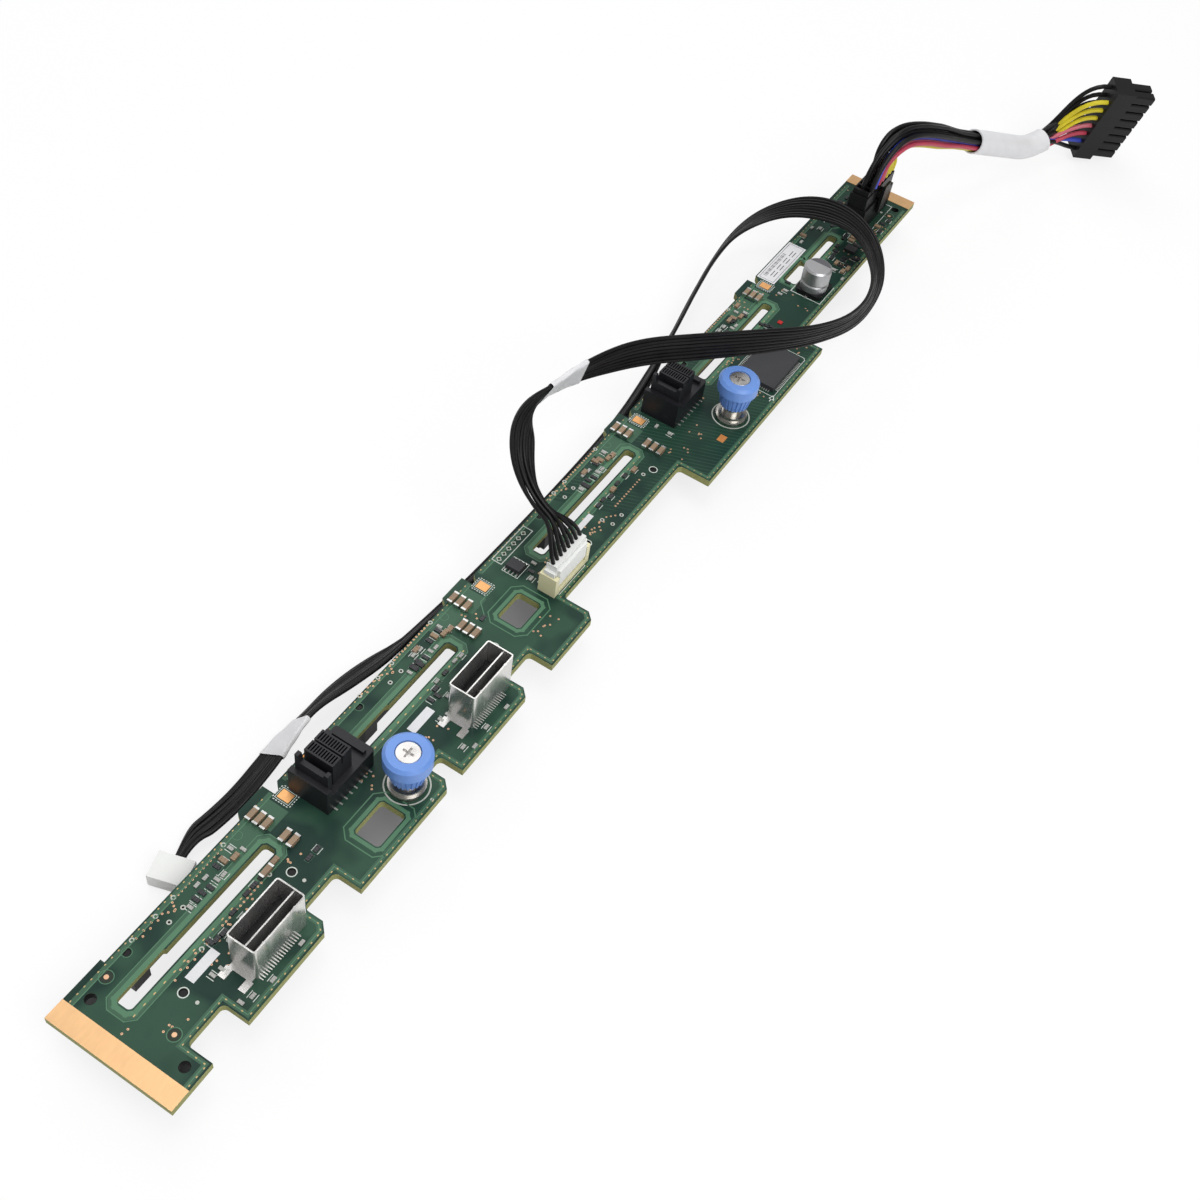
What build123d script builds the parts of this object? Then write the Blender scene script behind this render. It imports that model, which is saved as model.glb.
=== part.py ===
"""Drive backplane board: a long circuit board that carries a row of drive receptacles
underneath and the cable sockets, captive thumbscrews and chips on top.

Frame: +X runs along the row of drives, +Y points away from the chassis side, +Z is up out of
the component side.  The origin is under the middle of the board, on the plane that the drive
receptacles rest on.  Positions on the board are given as stations: u along it from the near
end, v across it from the datum edge.
"""
import os
from math import tan, radians

from build123d import *

os.makedirs("parts", exist_ok=True)

# ------------------------------------------------------------------ driving dimensions (mm)
BOARD_L = 420.0          # board length
BOARD_W = 37.4           # datum edge to the tab ends
BOARD_T = 2.4            # board thickness
PITCH = 87.0             # drive to drive
COLUMNS = 4              # drive columns
BUMP_OUT = 0.8           # how far the locating bumps stand out of the datum edge
EDGE_IN = 1.2            # recess between the bumps
BUMP_AT = 66.0           # first bump, start
BUMP_L = 9.4             # bump length
RELIEF_IN = 3.2          # depth of the relief beside each bump
SLOT_R = 1.2             # corner radius of the air slots
THROAT_L = 16.0          # wider near stretch of each long air slot
THROAT_OUT = 0.8
NOTCH_R = 1.5            # corner radius of the rear notches
TAB_CHAMFER = 2.2        # corner cut of the rear tabs
PLATING = 0.15           # thickness of the plated strips and pads
STRIP_W = 5.6            # width of the end strips
TOOLING_R = 1.45         # tooling holes at the near end

# underside drive receptacles
RECEPT_L = 46.0          # overall length of one receptacle
RECEPT_W = 6.6
RECEPT_H = 9.6           # from its seat on the board to the mating face
RECEPT_FLANGE = 2.4      # thickness of the seat flange
RECEPT_EAR = 2.3         # how far each guide ear stands beyond the tower
RECEPT_TOWER_W = 4.2     # tower that carries the blade slots
SHOULDER_L = 5.2         # wide guide shoulder at the near end, towards the air slot
SHOULDER_OUT = 5.0
SHOULDER_H = 6.0
RECEPT_AT = 41.5         # centre of the first receptacle along the board
UPPER_ROW_V = 3.6        # centre lines of the two rows
LOWER_ROW_V = 20.8
PEG_SPAN = 38.5          # between the two locating pegs
PEG_R = 0.95
PEG_CLEAR = 0.1
BLADE_SLOT_W = 1.6
BLADE_SLOT_D = 6.0
CONTACT_PITCH = 1.27
CONTACT_W = 0.6
CONTACT_T = 0.3
SIGNAL_CONTACTS = 7
POWER_CONTACTS = 15
KEY_GAP = 5.4            # plain stretch between signal and power contacts

# sheet-metal cages
CAGE_L = 18.2
CAGE_W = 8.5
CAGE_H = 13.6
CAGE_WALL = 0.4
CAGE_WEB_AT = 0.63       # web position over the inside width
CAGE_1 = (34.2, 24.1)    # near corner (u, v)
CAGE_2 = (121.5, 23.4)
CORE_H = 5.2             # moulded core inside the cage
CORE_CLEAR = 0.05
TONGUE_T = 1.0
TONGUE_H = 2.4
LEG_PITCH = 0.8
CAGE_LEG_COUNT = 18
LEG_W = 0.3
LEG_T = 0.2
LEG_OUT = 1.0            # solder foot length outside the body

# two-row board sockets
SOCKET_L = 19.1
SOCKET_W = 12.6
SOCKET_NEAR_H = 9.6      # near wall of the base
SOCKET_FAR_H = 7.0       # deck beyond the block
SOCKET_WALL = 1.7
SHROUD_H = 14.3          # stepped upper wall
SHROUD_W = 10.4
SHROUD_T = 1.5
EAR_W = 1.1
EAR_H = 1.3
BLOCK_AT = 4.5           # contact block, from the near wall
BLOCK_L = 7.4
BLOCK_W = 9.0
BLOCK_H = 15.1
BLOCK_SLOTS = 10
BLOCK_SLOT_W = 0.45
BLOCK_SLOT_L = 2.5
BLOCK_SLOT_D = 3.0
SOCKET_1 = (78.4, 11.6)  # near wall station and centre line
SOCKET_2 = (254.6, 10.4)
SOCKET_LEG_COUNT = 8
SOCKET_LEG_PITCH = 2.0

# captive thumbscrews
SCREW_1 = (97.4, 28.4)
SCREW_2 = (271.8, 28.2)
SHANK_R = 1.5
SHANK_BELOW = 5.2        # shank below the board, with the knob down
SCREW_LIFTS = (0.4, 1.4) # how far each screw is drawn up
LIFT_STOP = 1.4          # lift at which the retaining ring meets the board
FERRULE_BORE_CLEAR = 0.3
FERRULE_FLANGE_R = 5.2
FERRULE_FLANGE_H = 2.7
FERRULE_NECK_R = 3.2
FERRULE_NECK_H = 7.0
FERRULE_SPIGOT_R = 2.9
FERRULE_FIT = 0.1
KNOB_R = 6.6
KNOB_FOOT_R = 4.7
KNOB_FOOT_AT = 4.4       # foot of the knob above the board, before its lift
KNOB_H = 10.6
KNOB_RIM_H = 5.0
KNOB_SOCKET_CLEAR = 0.35
KNOB_FLUTES = 24
FLUTE_R = 0.35
CAP_R = 3.5              # metal cap of the screw in the knob
CAP_H = 1.6
CAP_SUNK = 0.25
RECESS_R = 1.7           # cross recess
RECESS_W = 0.7
RECESS_D = 1.1
RETAINER_R = 2.7
RETAINER_T = 0.6
RETAINER_GAP = 0.3       # below the board, and round the shank groove
GROOVE_R = 1.1

# capacitor
CAN_AT = (347.2, 20.0)
CAN_R = 5.0
CAN_H = 10.4
CAN_BASE = 10.3
CAN_BASE_H = 1.6
CAN_GROOVE_AT = 2.9      # crimp groove above the base
CAN_GROOVE = 0.35

# chips
CHIP_AT = (300.4, 27.0)
CHIP_L = 20.0
CHIP_W = 14.0
CHIP_H = 1.6
CHIP_STANDOFF = 0.15
CHIP_LEAD_PITCH = 0.8
CHIP_LEAD_W = 0.3
CHIP_LEAD_OUT = 1.0
MEMORY_AT = (175.2, 9.3)
MEMORY_L = 4.0
MEMORY_W = 5.0
MEMORY_H = 1.5
MEMORY_PINS = 4
PIN_W = 0.45
PIN_OUT = 1.0
REGULATOR_AT = (BOARD_L - 43.0, 20.8)
REGULATOR_S = 3.6
REGULATOR_H = 0.9

# ceramic capacitors
CERAMIC_L = 4.2
CERAMIC_W = 1.6
CERAMIC_H = 1.4
CERAMIC_END = 0.6

# test header pattern
TEST_PITCH = 2.54
TEST_HOLES = 6
TEST_HOLE_R = 0.5

# cable header and its plug
HEADER_AT = (181.5, 21.7)
HEADER_L = 18.2
HEADER_W = 5.8
HEADER_H = 7.4
HEADER_WALL = 1.2        # end posts
HEADER_SIDE = 1.0        # long walls
HEADER_FLOOR = 1.6
PLUG_FACE_AT = 3.6       # foot of the plug's rear face
HEADER_POLES = 8
HEADER_PITCH = 2.0
PLUG_CLEAR = 0.15
PLUG_TOP = 11.4          # top of the white plug above the board
PLUG_SHOULDER_H = 1.6    # shoulder that stops on the header wall
WIRE_SLOT = 1.5

# power header, its plug and the harness
POWER_AT = (BOARD_L - 20.7, 15.0)
POWER_L = 24.6
POWER_W = 8.6
POWER_H = 9.9
POWER_WALL = 1.1
POWER_FLOOR = 1.8
POWER_PITCH = 3.0
POWER_COLS = 7
POWER_PLUG_TOP = 17.0
POWER_BORE = 2.1
POWER_BORE_D = 2.5
LATCH_W = 5.0
LATCH_T = 0.9
LATCH_GAP = 0.7
HARNESS_D = 8.0
SLEEVE_T = 0.5
SLEEVE_CLEAR = 0.15

# big free plug at the harness end
BIG_PITCH = 4.2
BIG_COLS = 8
BIG_COLLAR_L = 35.2
BIG_COLLAR_W = 9.6
BIG_COLLAR_H = 8.3
BIG_TUBE = 3.7
BIG_TUBE_H = 9.4
BIG_BORE = 2.2
BIG_BORE_D = 6.0
BIG_LATCH_W = 6.4
BIG_LATCH_T = 1.2
BIG_LATCH_GAP = 1.4

# ribbon cable
RIBBON_D = 5.0
END_PLUG_L = 9.8
END_PLUG_W = 7.6
END_PLUG_T = 4.6

# derived levels and the station frame
UNDER = RECEPT_H                     # underside of the board
TOP = RECEPT_H + BOARD_T             # component side
DATUM_Y = (BOARD_W - BUMP_OUT) / 2


def bx(u):
    return u - BOARD_L / 2


def by(v):
    return DATUM_Y - v


def at(point, height=0.0):
    """A board station and a height over the component side, as model coordinates."""
    return (bx(point[0]), by(point[1]), TOP + height)


def patch(u0, u1, v0, v1, mode=Mode.ADD):
    """A rectangle between two stations each way, in the sketch being drawn."""
    with Locations((bx((u0 + u1) / 2), by((v0 + v1) / 2))):
        Rectangle(abs(u1 - u0), abs(v1 - v0), mode=mode)


def finish(part, name):
    part.label = name
    export_step(part, f"parts/{name}.step")


# ------------------------------------------------------------------ circuit board
SLOTS = [                            # air slots: start, end, near side, far side
    (12.0, 63.0, 10.3, 14.2),
    (98.5, 141.0, 9.5, 13.4),
    (184.0, 237.0, 9.5, 13.0),
    (281.0, 329.0, 10.0, 13.2),
    (345.3, 359.5, 9.2, 14.0),
    (360.9, 379.5, 10.8, 14.0),
]
WINDOWS = [(78.3, 89.8, 26.0, 33.8), (157.0, 168.0, 15.3, 23.0)]
FAR_FLOOR = 27.3         # rear edge of the far stretch
NOTCHES = [                          # rear notches: start, end, floor
    (13.3, 25.4, 29.8),
    (54.8, 66.8, 29.3),
    (104.6, 109.4, 30.0),
    (141.0, 152.0, 29.5),
    (174.5, 241.5, 26.5),
    (321.0, BOARD_L + 5, FAR_FLOOR),
]
CHAMFERED_TABS = [54.8, 104.6, 141.0, 174.5]
TOOLING_HOLES = [(9.1, 5.0), (9.2, 32.9), (BOARD_L - 9.4, 23.4)]
row_starts = [RECEPT_AT + PITCH * k for k in range(COLUMNS)]
upper_spots = [(u, UPPER_ROW_V) for u in row_starts]
lower_spots = [(u, LOWER_ROW_V) for u in row_starts[:-1]]
peg_spots = [
    (u + side * PEG_SPAN / 2, v) for u, v in upper_spots + lower_spots for side in (-1, 1)
]
test_spots = [(175.3 + TEST_PITCH * i, 3.6) for i in range(TEST_HOLES)]

with BuildPart() as circuit_board:
    with BuildSketch(Plane.XY.offset(UNDER)):
        patch(0, BOARD_L, EDGE_IN, BOARD_W)
        patch(0, 17.5, 0, EDGE_IN)
        patch(339.5, BOARD_L, 0.5, EDGE_IN)
        for k in range(COLUMNS):
            u = BUMP_AT + PITCH * k
            with BuildLine():
                Polyline(
                    (bx(u - 1.5), by(EDGE_IN)),
                    (bx(u), by(-BUMP_OUT)),
                    (bx(u + BUMP_L), by(-BUMP_OUT)),
                    (bx(u + BUMP_L), by(EDGE_IN)),
                    close=True,
                )
            make_face()
            with BuildLine():
                Polyline(
                    (bx(u + BUMP_L), by(0)),
                    (bx(u + BUMP_L), by(RELIEF_IN)),
                    (bx(u + BUMP_L + 1.5), by(RELIEF_IN)),
                    (bx(u + BUMP_L + 4.4), by(0)),
                    close=True,
                )
            make_face(mode=Mode.SUBTRACT)
        for u0, u1, floor in NOTCHES:
            depth = BOARD_W - floor + 5
            with Locations((bx((u0 + u1) / 2), by(floor + depth / 2))):
                RectangleRounded(u1 - u0, depth, NOTCH_R, mode=Mode.SUBTRACT)
        for u in CHAMFERED_TABS:
            with BuildLine():
                Polyline(
                    (bx(u - TAB_CHAMFER), by(BOARD_W)),
                    (bx(u), by(BOARD_W)),
                    (bx(u), by(BOARD_W - TAB_CHAMFER)),
                    close=True,
                )
            make_face(mode=Mode.SUBTRACT)
        for u0, u1, v0, v1 in SLOTS + WINDOWS:
            with Locations((bx((u0 + u1) / 2), by((v0 + v1) / 2))):
                RectangleRounded(u1 - u0, v1 - v0, SLOT_R, mode=Mode.SUBTRACT)
        for u0, u1, v0, v1 in SLOTS[:COLUMNS]:
            with Locations((bx(u0 + THROAT_L / 2), by((v0 + v1 - THROAT_OUT) / 2))):
                RectangleRounded(THROAT_L, v1 - v0 + THROAT_OUT, SLOT_R, mode=Mode.SUBTRACT)
        with Locations(*[(bx(u), by(v)) for u, v in TOOLING_HOLES]):
            Circle(TOOLING_R, mode=Mode.SUBTRACT)
        with Locations(*[(bx(u), by(v)) for u, v in peg_spots]):
            Circle(PEG_R + PEG_CLEAR, mode=Mode.SUBTRACT)
        with Locations(*[(bx(u), by(v)) for u, v in (SCREW_1, SCREW_2)]):
            Circle(FERRULE_SPIGOT_R + FERRULE_FIT, mode=Mode.SUBTRACT)
        with Locations(*[(bx(u), by(v)) for u, v in test_spots]):
            Circle(TEST_HOLE_R, mode=Mode.SUBTRACT)
    extrude(amount=BOARD_T)
finish(circuit_board.part, "circuit_board")

with BuildPart() as end_contacts:
    with BuildSketch(Plane.XY.offset(TOP)):
        patch(0, STRIP_W, 0, BOARD_W)
        patch(BOARD_L - STRIP_W, BOARD_L, 0.5, FAR_FLOOR)
    extrude(amount=PLATING)
finish(end_contacts.part, "end_contacts")

with BuildPart() as edge_pads:
    with BuildSketch(Plane.XY.offset(TOP)):
        for k in range(COLUMNS):
            u = BUMP_AT + BUMP_L + PITCH * k + 1.1
            patch(u - 1.4, u + 1.4, RELIEF_IN + 0.9, RELIEF_IN + 4.5)
    extrude(amount=PLATING)
finish(edge_pads.part, "edge_pads")


# ------------------------------------------------------------------ drive receptacles
signal_l = SIGNAL_CONTACTS * CONTACT_PITCH
power_l = POWER_CONTACTS * CONTACT_PITCH
signal_mid = -(KEY_GAP / 2 + power_l) / 2 - 0.6
tower_l = RECEPT_L - 2 * RECEPT_EAR
power_mid = signal_mid + (signal_l + power_l) / 2 + KEY_GAP


def tower(spots, shoulder_out):
    """One row of receptacles as separate solids; the near guide shoulder reaches out sideways."""
    with BuildPart() as row:
        with BuildSketch(Plane.XY.offset(UNDER - RECEPT_FLANGE)):
            with Locations(*[(bx(u), by(v)) for u, v in spots]):
                RectangleRounded(RECEPT_L, RECEPT_W, 0.6)
        extrude(amount=RECEPT_FLANGE)
        with BuildSketch():
            with Locations(*[(bx(u), by(v)) for u, v in spots]):
                Rectangle(tower_l, RECEPT_TOWER_W)
        extrude(amount=UNDER - RECEPT_FLANGE)
        with BuildSketch():
            for u, v in spots:
                with Locations((bx(u) + signal_mid, by(v))):
                    Rectangle(signal_l, BLADE_SLOT_W)
                with Locations((bx(u) + power_mid, by(v))):
                    Rectangle(power_l, BLADE_SLOT_W)
        extrude(amount=BLADE_SLOT_D, mode=Mode.SUBTRACT)
        ear = RECEPT_EAR - 0.2
        with BuildSketch(Plane.XY.offset(UNDER - RECEPT_FLANGE)):
            for u, v in spots:
                for side in (-1, 1):
                    with Locations((bx(u) + side * (RECEPT_L - ear) / 2, by(v))):
                        Rectangle(ear, RECEPT_TOWER_W - 1.4)
        extrude(amount=-(UNDER - RECEPT_FLANGE - 1.2), taper=2)
        with BuildSketch(Plane.XY.offset(UNDER - SHOULDER_H)):
            for u, v in spots:
                shoulder = (bx(u) - (RECEPT_L - SHOULDER_L) / 2, by(v + shoulder_out / 2))
                with Locations(shoulder):
                    Rectangle(SHOULDER_L, shoulder_out)
        extrude(amount=SHOULDER_H)
        with BuildSketch(Plane.XY.offset(UNDER)):
            for u, v in spots:
                with Locations(*[(bx(u) + side * PEG_SPAN / 2, by(v)) for side in (-1, 1)]):
                    Circle(PEG_R)
        extrude(amount=BOARD_T - 0.3)
    return row


upper = tower(upper_spots, SHOULDER_OUT)
finish(upper.part, "drive_receptacles_upper")
lower = tower(lower_spots, RECEPT_W / 2)
finish(lower.part, "drive_receptacles_lower")

with BuildPart() as drive_contacts:
    blade_y = (BLADE_SLOT_W - CONTACT_T) / 2
    with BuildSketch(Plane.XY.offset(1.0)):
        for u, v in upper_spots + lower_spots:
            with Locations((bx(u) + signal_mid, by(v) + blade_y)):
                with GridLocations(CONTACT_PITCH, 1, SIGNAL_CONTACTS, 1):
                    Rectangle(CONTACT_W, CONTACT_T)
            with Locations((bx(u) + power_mid, by(v) + blade_y)):
                with GridLocations(CONTACT_PITCH, 1, POWER_CONTACTS, 1):
                    Rectangle(CONTACT_W, CONTACT_T)
    extrude(amount=BLADE_SLOT_D - 1.0)
finish(drive_contacts.part, "drive_contacts")


# ------------------------------------------------------------------ sheet-metal cages
def cage(corner, name):
    """A folded cage on two solder tabs: outer shell, a web between two cavities."""
    u0, v0 = corner
    mid = (bx(u0 + CAGE_L / 2), by(v0 + CAGE_W / 2))
    inside = CAGE_W - 2 * CAGE_WALL
    web_y = by(v0 + CAGE_WALL + inside * CAGE_WEB_AT)
    with BuildPart() as shell:
        with BuildSketch(Plane.XY.offset(TOP)):
            with Locations(mid):
                RectangleRounded(CAGE_L, CAGE_W, 0.8)
                RectangleRounded(CAGE_L - 2 * CAGE_WALL, inside, 0.4, mode=Mode.SUBTRACT)
        extrude(amount=CAGE_H)
        with BuildSketch(Plane.XY.offset(TOP + CORE_H)):
            with Locations((mid[0], web_y)):
                Rectangle(CAGE_L - CAGE_WALL, CAGE_WALL)
        extrude(amount=CAGE_H - CORE_H - 0.6)
        # two latch dimples pressed into the rear wall near the mouth
        with BuildSketch(Plane.XZ.offset(-by(v0 + CAGE_W - CAGE_WALL))):
            for share in (0.2, 0.8):
                with Locations((bx(u0 + CAGE_L * share), TOP + CAGE_H - 1.1)):
                    Circle(0.55)
        extrude(amount=-0.35)
        # solder flange with its two tabs on the near end
        with BuildSketch(Plane.XY.offset(TOP)):
            patch(u0 - 1.4, u0 + CAGE_WALL / 2, v0 + 0.8, v0 + CAGE_W - 0.8)
            patch(u0 - 4.4, u0 - 1.2, v0 + 0.2, v0 + 2.2)
            patch(u0 - 4.4, u0 - 1.2, v0 + CAGE_W - 2.2, v0 + CAGE_W - 0.2)
        extrude(amount=CAGE_WALL)
    finish(shell.part, name)
    return shell


shell_1 = cage(CAGE_1, "cage_1_shell")
shell_2 = cage(CAGE_2, "cage_2_shell")

with BuildPart() as cage_cores:
    core_l = CAGE_L - 2 * CAGE_WALL - 2 * CORE_CLEAR
    core_w = CAGE_W - 2 * CAGE_WALL - 2 * CORE_CLEAR
    for u0, v0 in (CAGE_1, CAGE_2):
        mid_u = u0 + CAGE_L / 2
        with BuildSketch(Plane.XY.offset(TOP)):
            with Locations((bx(mid_u), by(v0 + CAGE_W / 2))):
                RectangleRounded(core_l, core_w, 0.35)
        extrude(amount=CORE_H)
        wide = core_w * CAGE_WEB_AT
        with BuildSketch(Plane.XY.offset(TOP + CORE_H)):
            with Locations((bx(mid_u), by(v0 + CAGE_WALL + CORE_CLEAR + wide / 2))):
                RectangleRounded(core_l - 2.4, TONGUE_T, 0.3)
        extrude(amount=TONGUE_H)
finish(cage_cores.part, "cage_cores")


def foot_row(u_mid, v_face, count, pitch, width, out, side):
    """Outline of a soldered row of feet, flat on the board."""
    with BuildSketch(Plane.XY.offset(TOP)) as feet:
        with Locations((bx(u_mid), by(v_face + side * out / 2))):
            with GridLocations(pitch, 1, count, 1):
                Rectangle(width, out)
    return feet.sketch


with BuildPart() as cage_legs:
    for u0, v0 in (CAGE_1, CAGE_2):
        row = foot_row(u0 + 0.4 + CAGE_LEG_COUNT * LEG_PITCH / 2, v0 + CAGE_W, CAGE_LEG_COUNT, LEG_PITCH,
                       LEG_W, LEG_OUT, 1)
        extrude(row, amount=LEG_T)
finish(cage_legs.part, "cage_legs")


# ------------------------------------------------------------------ two-row board sockets
with BuildPart() as socket_bases:
    for u0, v_mid in (SOCKET_1, SOCKET_2):
        near, far = v_mid - SOCKET_W / 2, v_mid + SOCKET_W / 2
        with BuildSketch(Plane.XY.offset(TOP)):
            patch(u0, u0 + SOCKET_L, near, far)
        deck = extrude(amount=SOCKET_FAR_H)
        with BuildSketch(Plane.XY.offset(TOP)):
            patch(u0, u0 + SOCKET_WALL, near, far)
        extrude(amount=SOCKET_NEAR_H)
        # stepped upper wall, an ear at each end
        step_u = u0 + SOCKET_WALL
        with BuildSketch(Plane.YZ.offset(bx(step_u))):
            y0, y1 = by(v_mid - SHROUD_W / 2), by(v_mid + SHROUD_W / 2)
            with BuildLine():
                Polyline(
                    (y0, TOP),
                    (y0, TOP + SHROUD_H + EAR_H),
                    (y0 - EAR_W, TOP + SHROUD_H + EAR_H),
                    (y0 - EAR_W - 0.5, TOP + SHROUD_H - EAR_H),
                    (y1 + EAR_W + 0.5, TOP + SHROUD_H - EAR_H),
                    (y1 + EAR_W, TOP + SHROUD_H),
                    (y1, TOP + SHROUD_H),
                    (y1, TOP),
                    close=True,
                )
            make_face()
        extrude(amount=SHROUD_T)
        # polarising post beyond the block, by the datum edge
        with BuildSketch(Plane.XY.offset(TOP)):
            with Locations((bx(u0 + BLOCK_AT + BLOCK_L + 1.9), by(near + 1.7))):
                RectangleRounded(2.2, 2.0, 0.4)
        extrude(amount=BLOCK_H - 4.0)
        # rib on the far deck
        with BuildSketch(Plane.XY.offset(TOP)):
            patch(u0 + SOCKET_L - 3.2, u0 + SOCKET_L - 2.0, near + 1.5, far - 1.2)
        extrude(amount=SOCKET_FAR_H + 1.2)
    corners = socket_bases.edges().filter_by(Axis.Z).filter_by(
        lambda e: abs(e.center().Z - (TOP + SOCKET_FAR_H / 2)) < 0.01
    )
    chamfer(corners, 0.5)
finish(socket_bases.part, "socket_bases")

with BuildPart() as socket_blocks:
    for u0, v_mid in (SOCKET_1, SOCKET_2):
        block_u = u0 + BLOCK_AT + BLOCK_L / 2
        with BuildSketch(Plane.XY.offset(TOP + SOCKET_FAR_H)):
            with Locations((bx(block_u), by(v_mid))):
                Rectangle(BLOCK_L, BLOCK_W)
        extrude(amount=BLOCK_H - SOCKET_FAR_H)
        with BuildSketch(Plane.XY.offset(TOP + BLOCK_H)):
            pitch = BLOCK_W / (BLOCK_SLOTS + 1)
            with Locations((bx(block_u), by(v_mid))):
                with GridLocations(BLOCK_L / 2 + 0.1, pitch, 2, BLOCK_SLOTS):
                    Rectangle(BLOCK_SLOT_L, BLOCK_SLOT_W)
                Rectangle(0.5, BLOCK_W)
        extrude(amount=-BLOCK_SLOT_D, mode=Mode.SUBTRACT)
finish(socket_blocks.part, "socket_blocks")

with BuildPart() as socket_legs:
    for u0, v_mid in (SOCKET_1, SOCKET_2):
        for side in (-1, 1):
            row = foot_row(u0 + SOCKET_L / 2, v_mid + side * SOCKET_W / 2, SOCKET_LEG_COUNT,
                           SOCKET_LEG_PITCH, PIN_W, LEG_OUT, side)
            extrude(row, amount=LEG_T)
finish(socket_legs.part, "socket_legs")


# ------------------------------------------------------------------ captive thumbscrews
with BuildPart() as ferrules:
    for spot in (SCREW_1, SCREW_2):
        x, y, _ = at(spot)
        with BuildSketch(Plane.XY.offset(TOP)):
            with Locations((x, y)):
                Circle(FERRULE_SPIGOT_R)
        extrude(amount=-(BOARD_T - 0.3))
        with BuildSketch(Plane.XY.offset(TOP)):
            with Locations((x, y)):
                Circle(FERRULE_FLANGE_R)
        extrude(amount=FERRULE_FLANGE_H / 2)
        with BuildSketch(Plane.XY.offset(TOP + FERRULE_FLANGE_H / 2)):
            with Locations((x, y)):
                Circle(FERRULE_FLANGE_R - 0.5)
        extrude(amount=FERRULE_FLANGE_H / 2)
        with BuildSketch(Plane.XY.offset(TOP + FERRULE_FLANGE_H)):
            with Locations((x, y)):
                Circle(FERRULE_NECK_R)
        extrude(amount=FERRULE_NECK_H - FERRULE_FLANGE_H)
    with BuildSketch(Plane.XY.offset(UNDER)):
        with Locations(at(SCREW_1)[:2], at(SCREW_2)[:2]):
            Circle(SHANK_R + FERRULE_BORE_CLEAR)
    extrude(amount=BOARD_T + FERRULE_NECK_H, mode=Mode.SUBTRACT)
finish(ferrules.part, "ferrules")


def knob(spot, lift, name):
    """Moulded knob: plain rim over a fluted, tapered skirt; hollow below over the neck."""
    x, y, z = at(spot)
    foot = z + KNOB_FOOT_AT + lift
    rim = foot + KNOB_H - KNOB_RIM_H
    head = foot + KNOB_H
    neck = FERRULE_NECK_R + KNOB_SOCKET_CLEAR
    with BuildPart() as body:
        with BuildSketch(Plane.XZ.offset(-y)):
            with BuildLine():
                Polyline(
                    (x + neck, foot),
                    (x + KNOB_FOOT_R, foot),
                    (x + KNOB_R - 0.8, rim),
                    (x + KNOB_R, rim + 0.5),
                    (x + KNOB_R, head - 0.9),
                    (x + KNOB_R - 0.9, head),
                    (x + CAP_R, head),
                    (x + CAP_R, head - CAP_SUNK - CAP_H),
                    (x + SHANK_R, head - CAP_SUNK - CAP_H),
                    (x + SHANK_R, foot + FERRULE_NECK_H),
                    (x + neck, foot + FERRULE_NECK_H),
                    close=True,
                )
            make_face()
        revolve(axis=Axis((x, y, 0), (0, 0, 1)))
        # flutes follow the taper of the skirt
        slant = Vector(KNOB_R - 0.8 - KNOB_FOOT_R, 0, rim - foot)
        cutter = Plane(
            origin=(x + KNOB_FOOT_R - 0.1 * slant.X, y, foot - 0.1 * slant.Z),
            x_dir=(0, 1, 0), z_dir=slant,
        ) * Cylinder(
            FLUTE_R, 1.02 * slant.length,
            align=(Align.CENTER, Align.CENTER, Align.MIN), mode=Mode.PRIVATE,
        )
        spindle = Axis((x, y, 0), (0, 0, 1))
        flutes = [cutter.rotate(spindle, 360 * i / KNOB_FLUTES) for i in range(KNOB_FLUTES)]
        add(flutes, mode=Mode.SUBTRACT)
    finish(body.part, name)
    return body


def screw(spot, lift, name):
    """Captive screw: recessed metal cap, shank through the ferrule, retaining groove."""
    x, y, z = at(spot)
    head = z + KNOB_FOOT_AT + KNOB_H - CAP_SUNK + lift
    groove_top = UNDER - RETAINER_GAP - LIFT_STOP + lift
    groove_foot = groove_top - RETAINER_T
    tip = UNDER - SHANK_BELOW + lift
    with BuildPart() as body:
        with BuildSketch(Plane.XZ.offset(-y)):
            with BuildLine():
                Polyline(
                    (x, tip),
                    (x + SHANK_R - 0.5, tip),
                    (x + SHANK_R, tip + 0.5),
                    (x + SHANK_R, groove_foot - 0.05),
                    (x + GROOVE_R, groove_foot - 0.05),
                    (x + GROOVE_R, groove_top + 0.05),
                    (x + SHANK_R, groove_top + 0.05),
                    (x + SHANK_R, head - CAP_H),
                    (x + CAP_R, head - CAP_H),
                    (x + CAP_R, head - 0.3),
                    (x + CAP_R - 0.3, head),
                    (x, head),
                    close=True,
                )
            make_face()
        revolve(axis=Axis((x, y, 0), (0, 0, 1)))
        with BuildSketch(Plane.XY.offset(head)):
            with Locations((x, y)):
                Rectangle(2 * RECESS_R, RECESS_W)
                Rectangle(RECESS_W, 2 * RECESS_R)
        extrude(amount=-RECESS_D, mode=Mode.SUBTRACT)
    finish(body.part, name)
    return body


def retainer(spot, lift, name):
    """Open retaining ring in the groove of the shank, below the board."""
    x, y, _ = at(spot)
    level = UNDER - RETAINER_GAP - LIFT_STOP + lift - RETAINER_T
    with BuildPart() as ring:
        with BuildSketch(Plane.XY.offset(level)):
            with Locations((x, y)):
                Circle(RETAINER_R)
                Circle(GROOVE_R + RETAINER_GAP / 2, mode=Mode.SUBTRACT)
            with Locations((x, y - RETAINER_R)):
                Rectangle(2 * GROOVE_R - 0.4, 2 * RETAINER_R - 1.0, mode=Mode.SUBTRACT)
        extrude(amount=RETAINER_T)
    finish(ring.part, name)
    return ring


for number, spot, lift in zip("12", (SCREW_1, SCREW_2), SCREW_LIFTS):
    knob(spot, lift, "knob_" + number)
    screw(spot, lift, "screw_" + number)
    retainer(spot, lift, "retainer_" + number)


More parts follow.
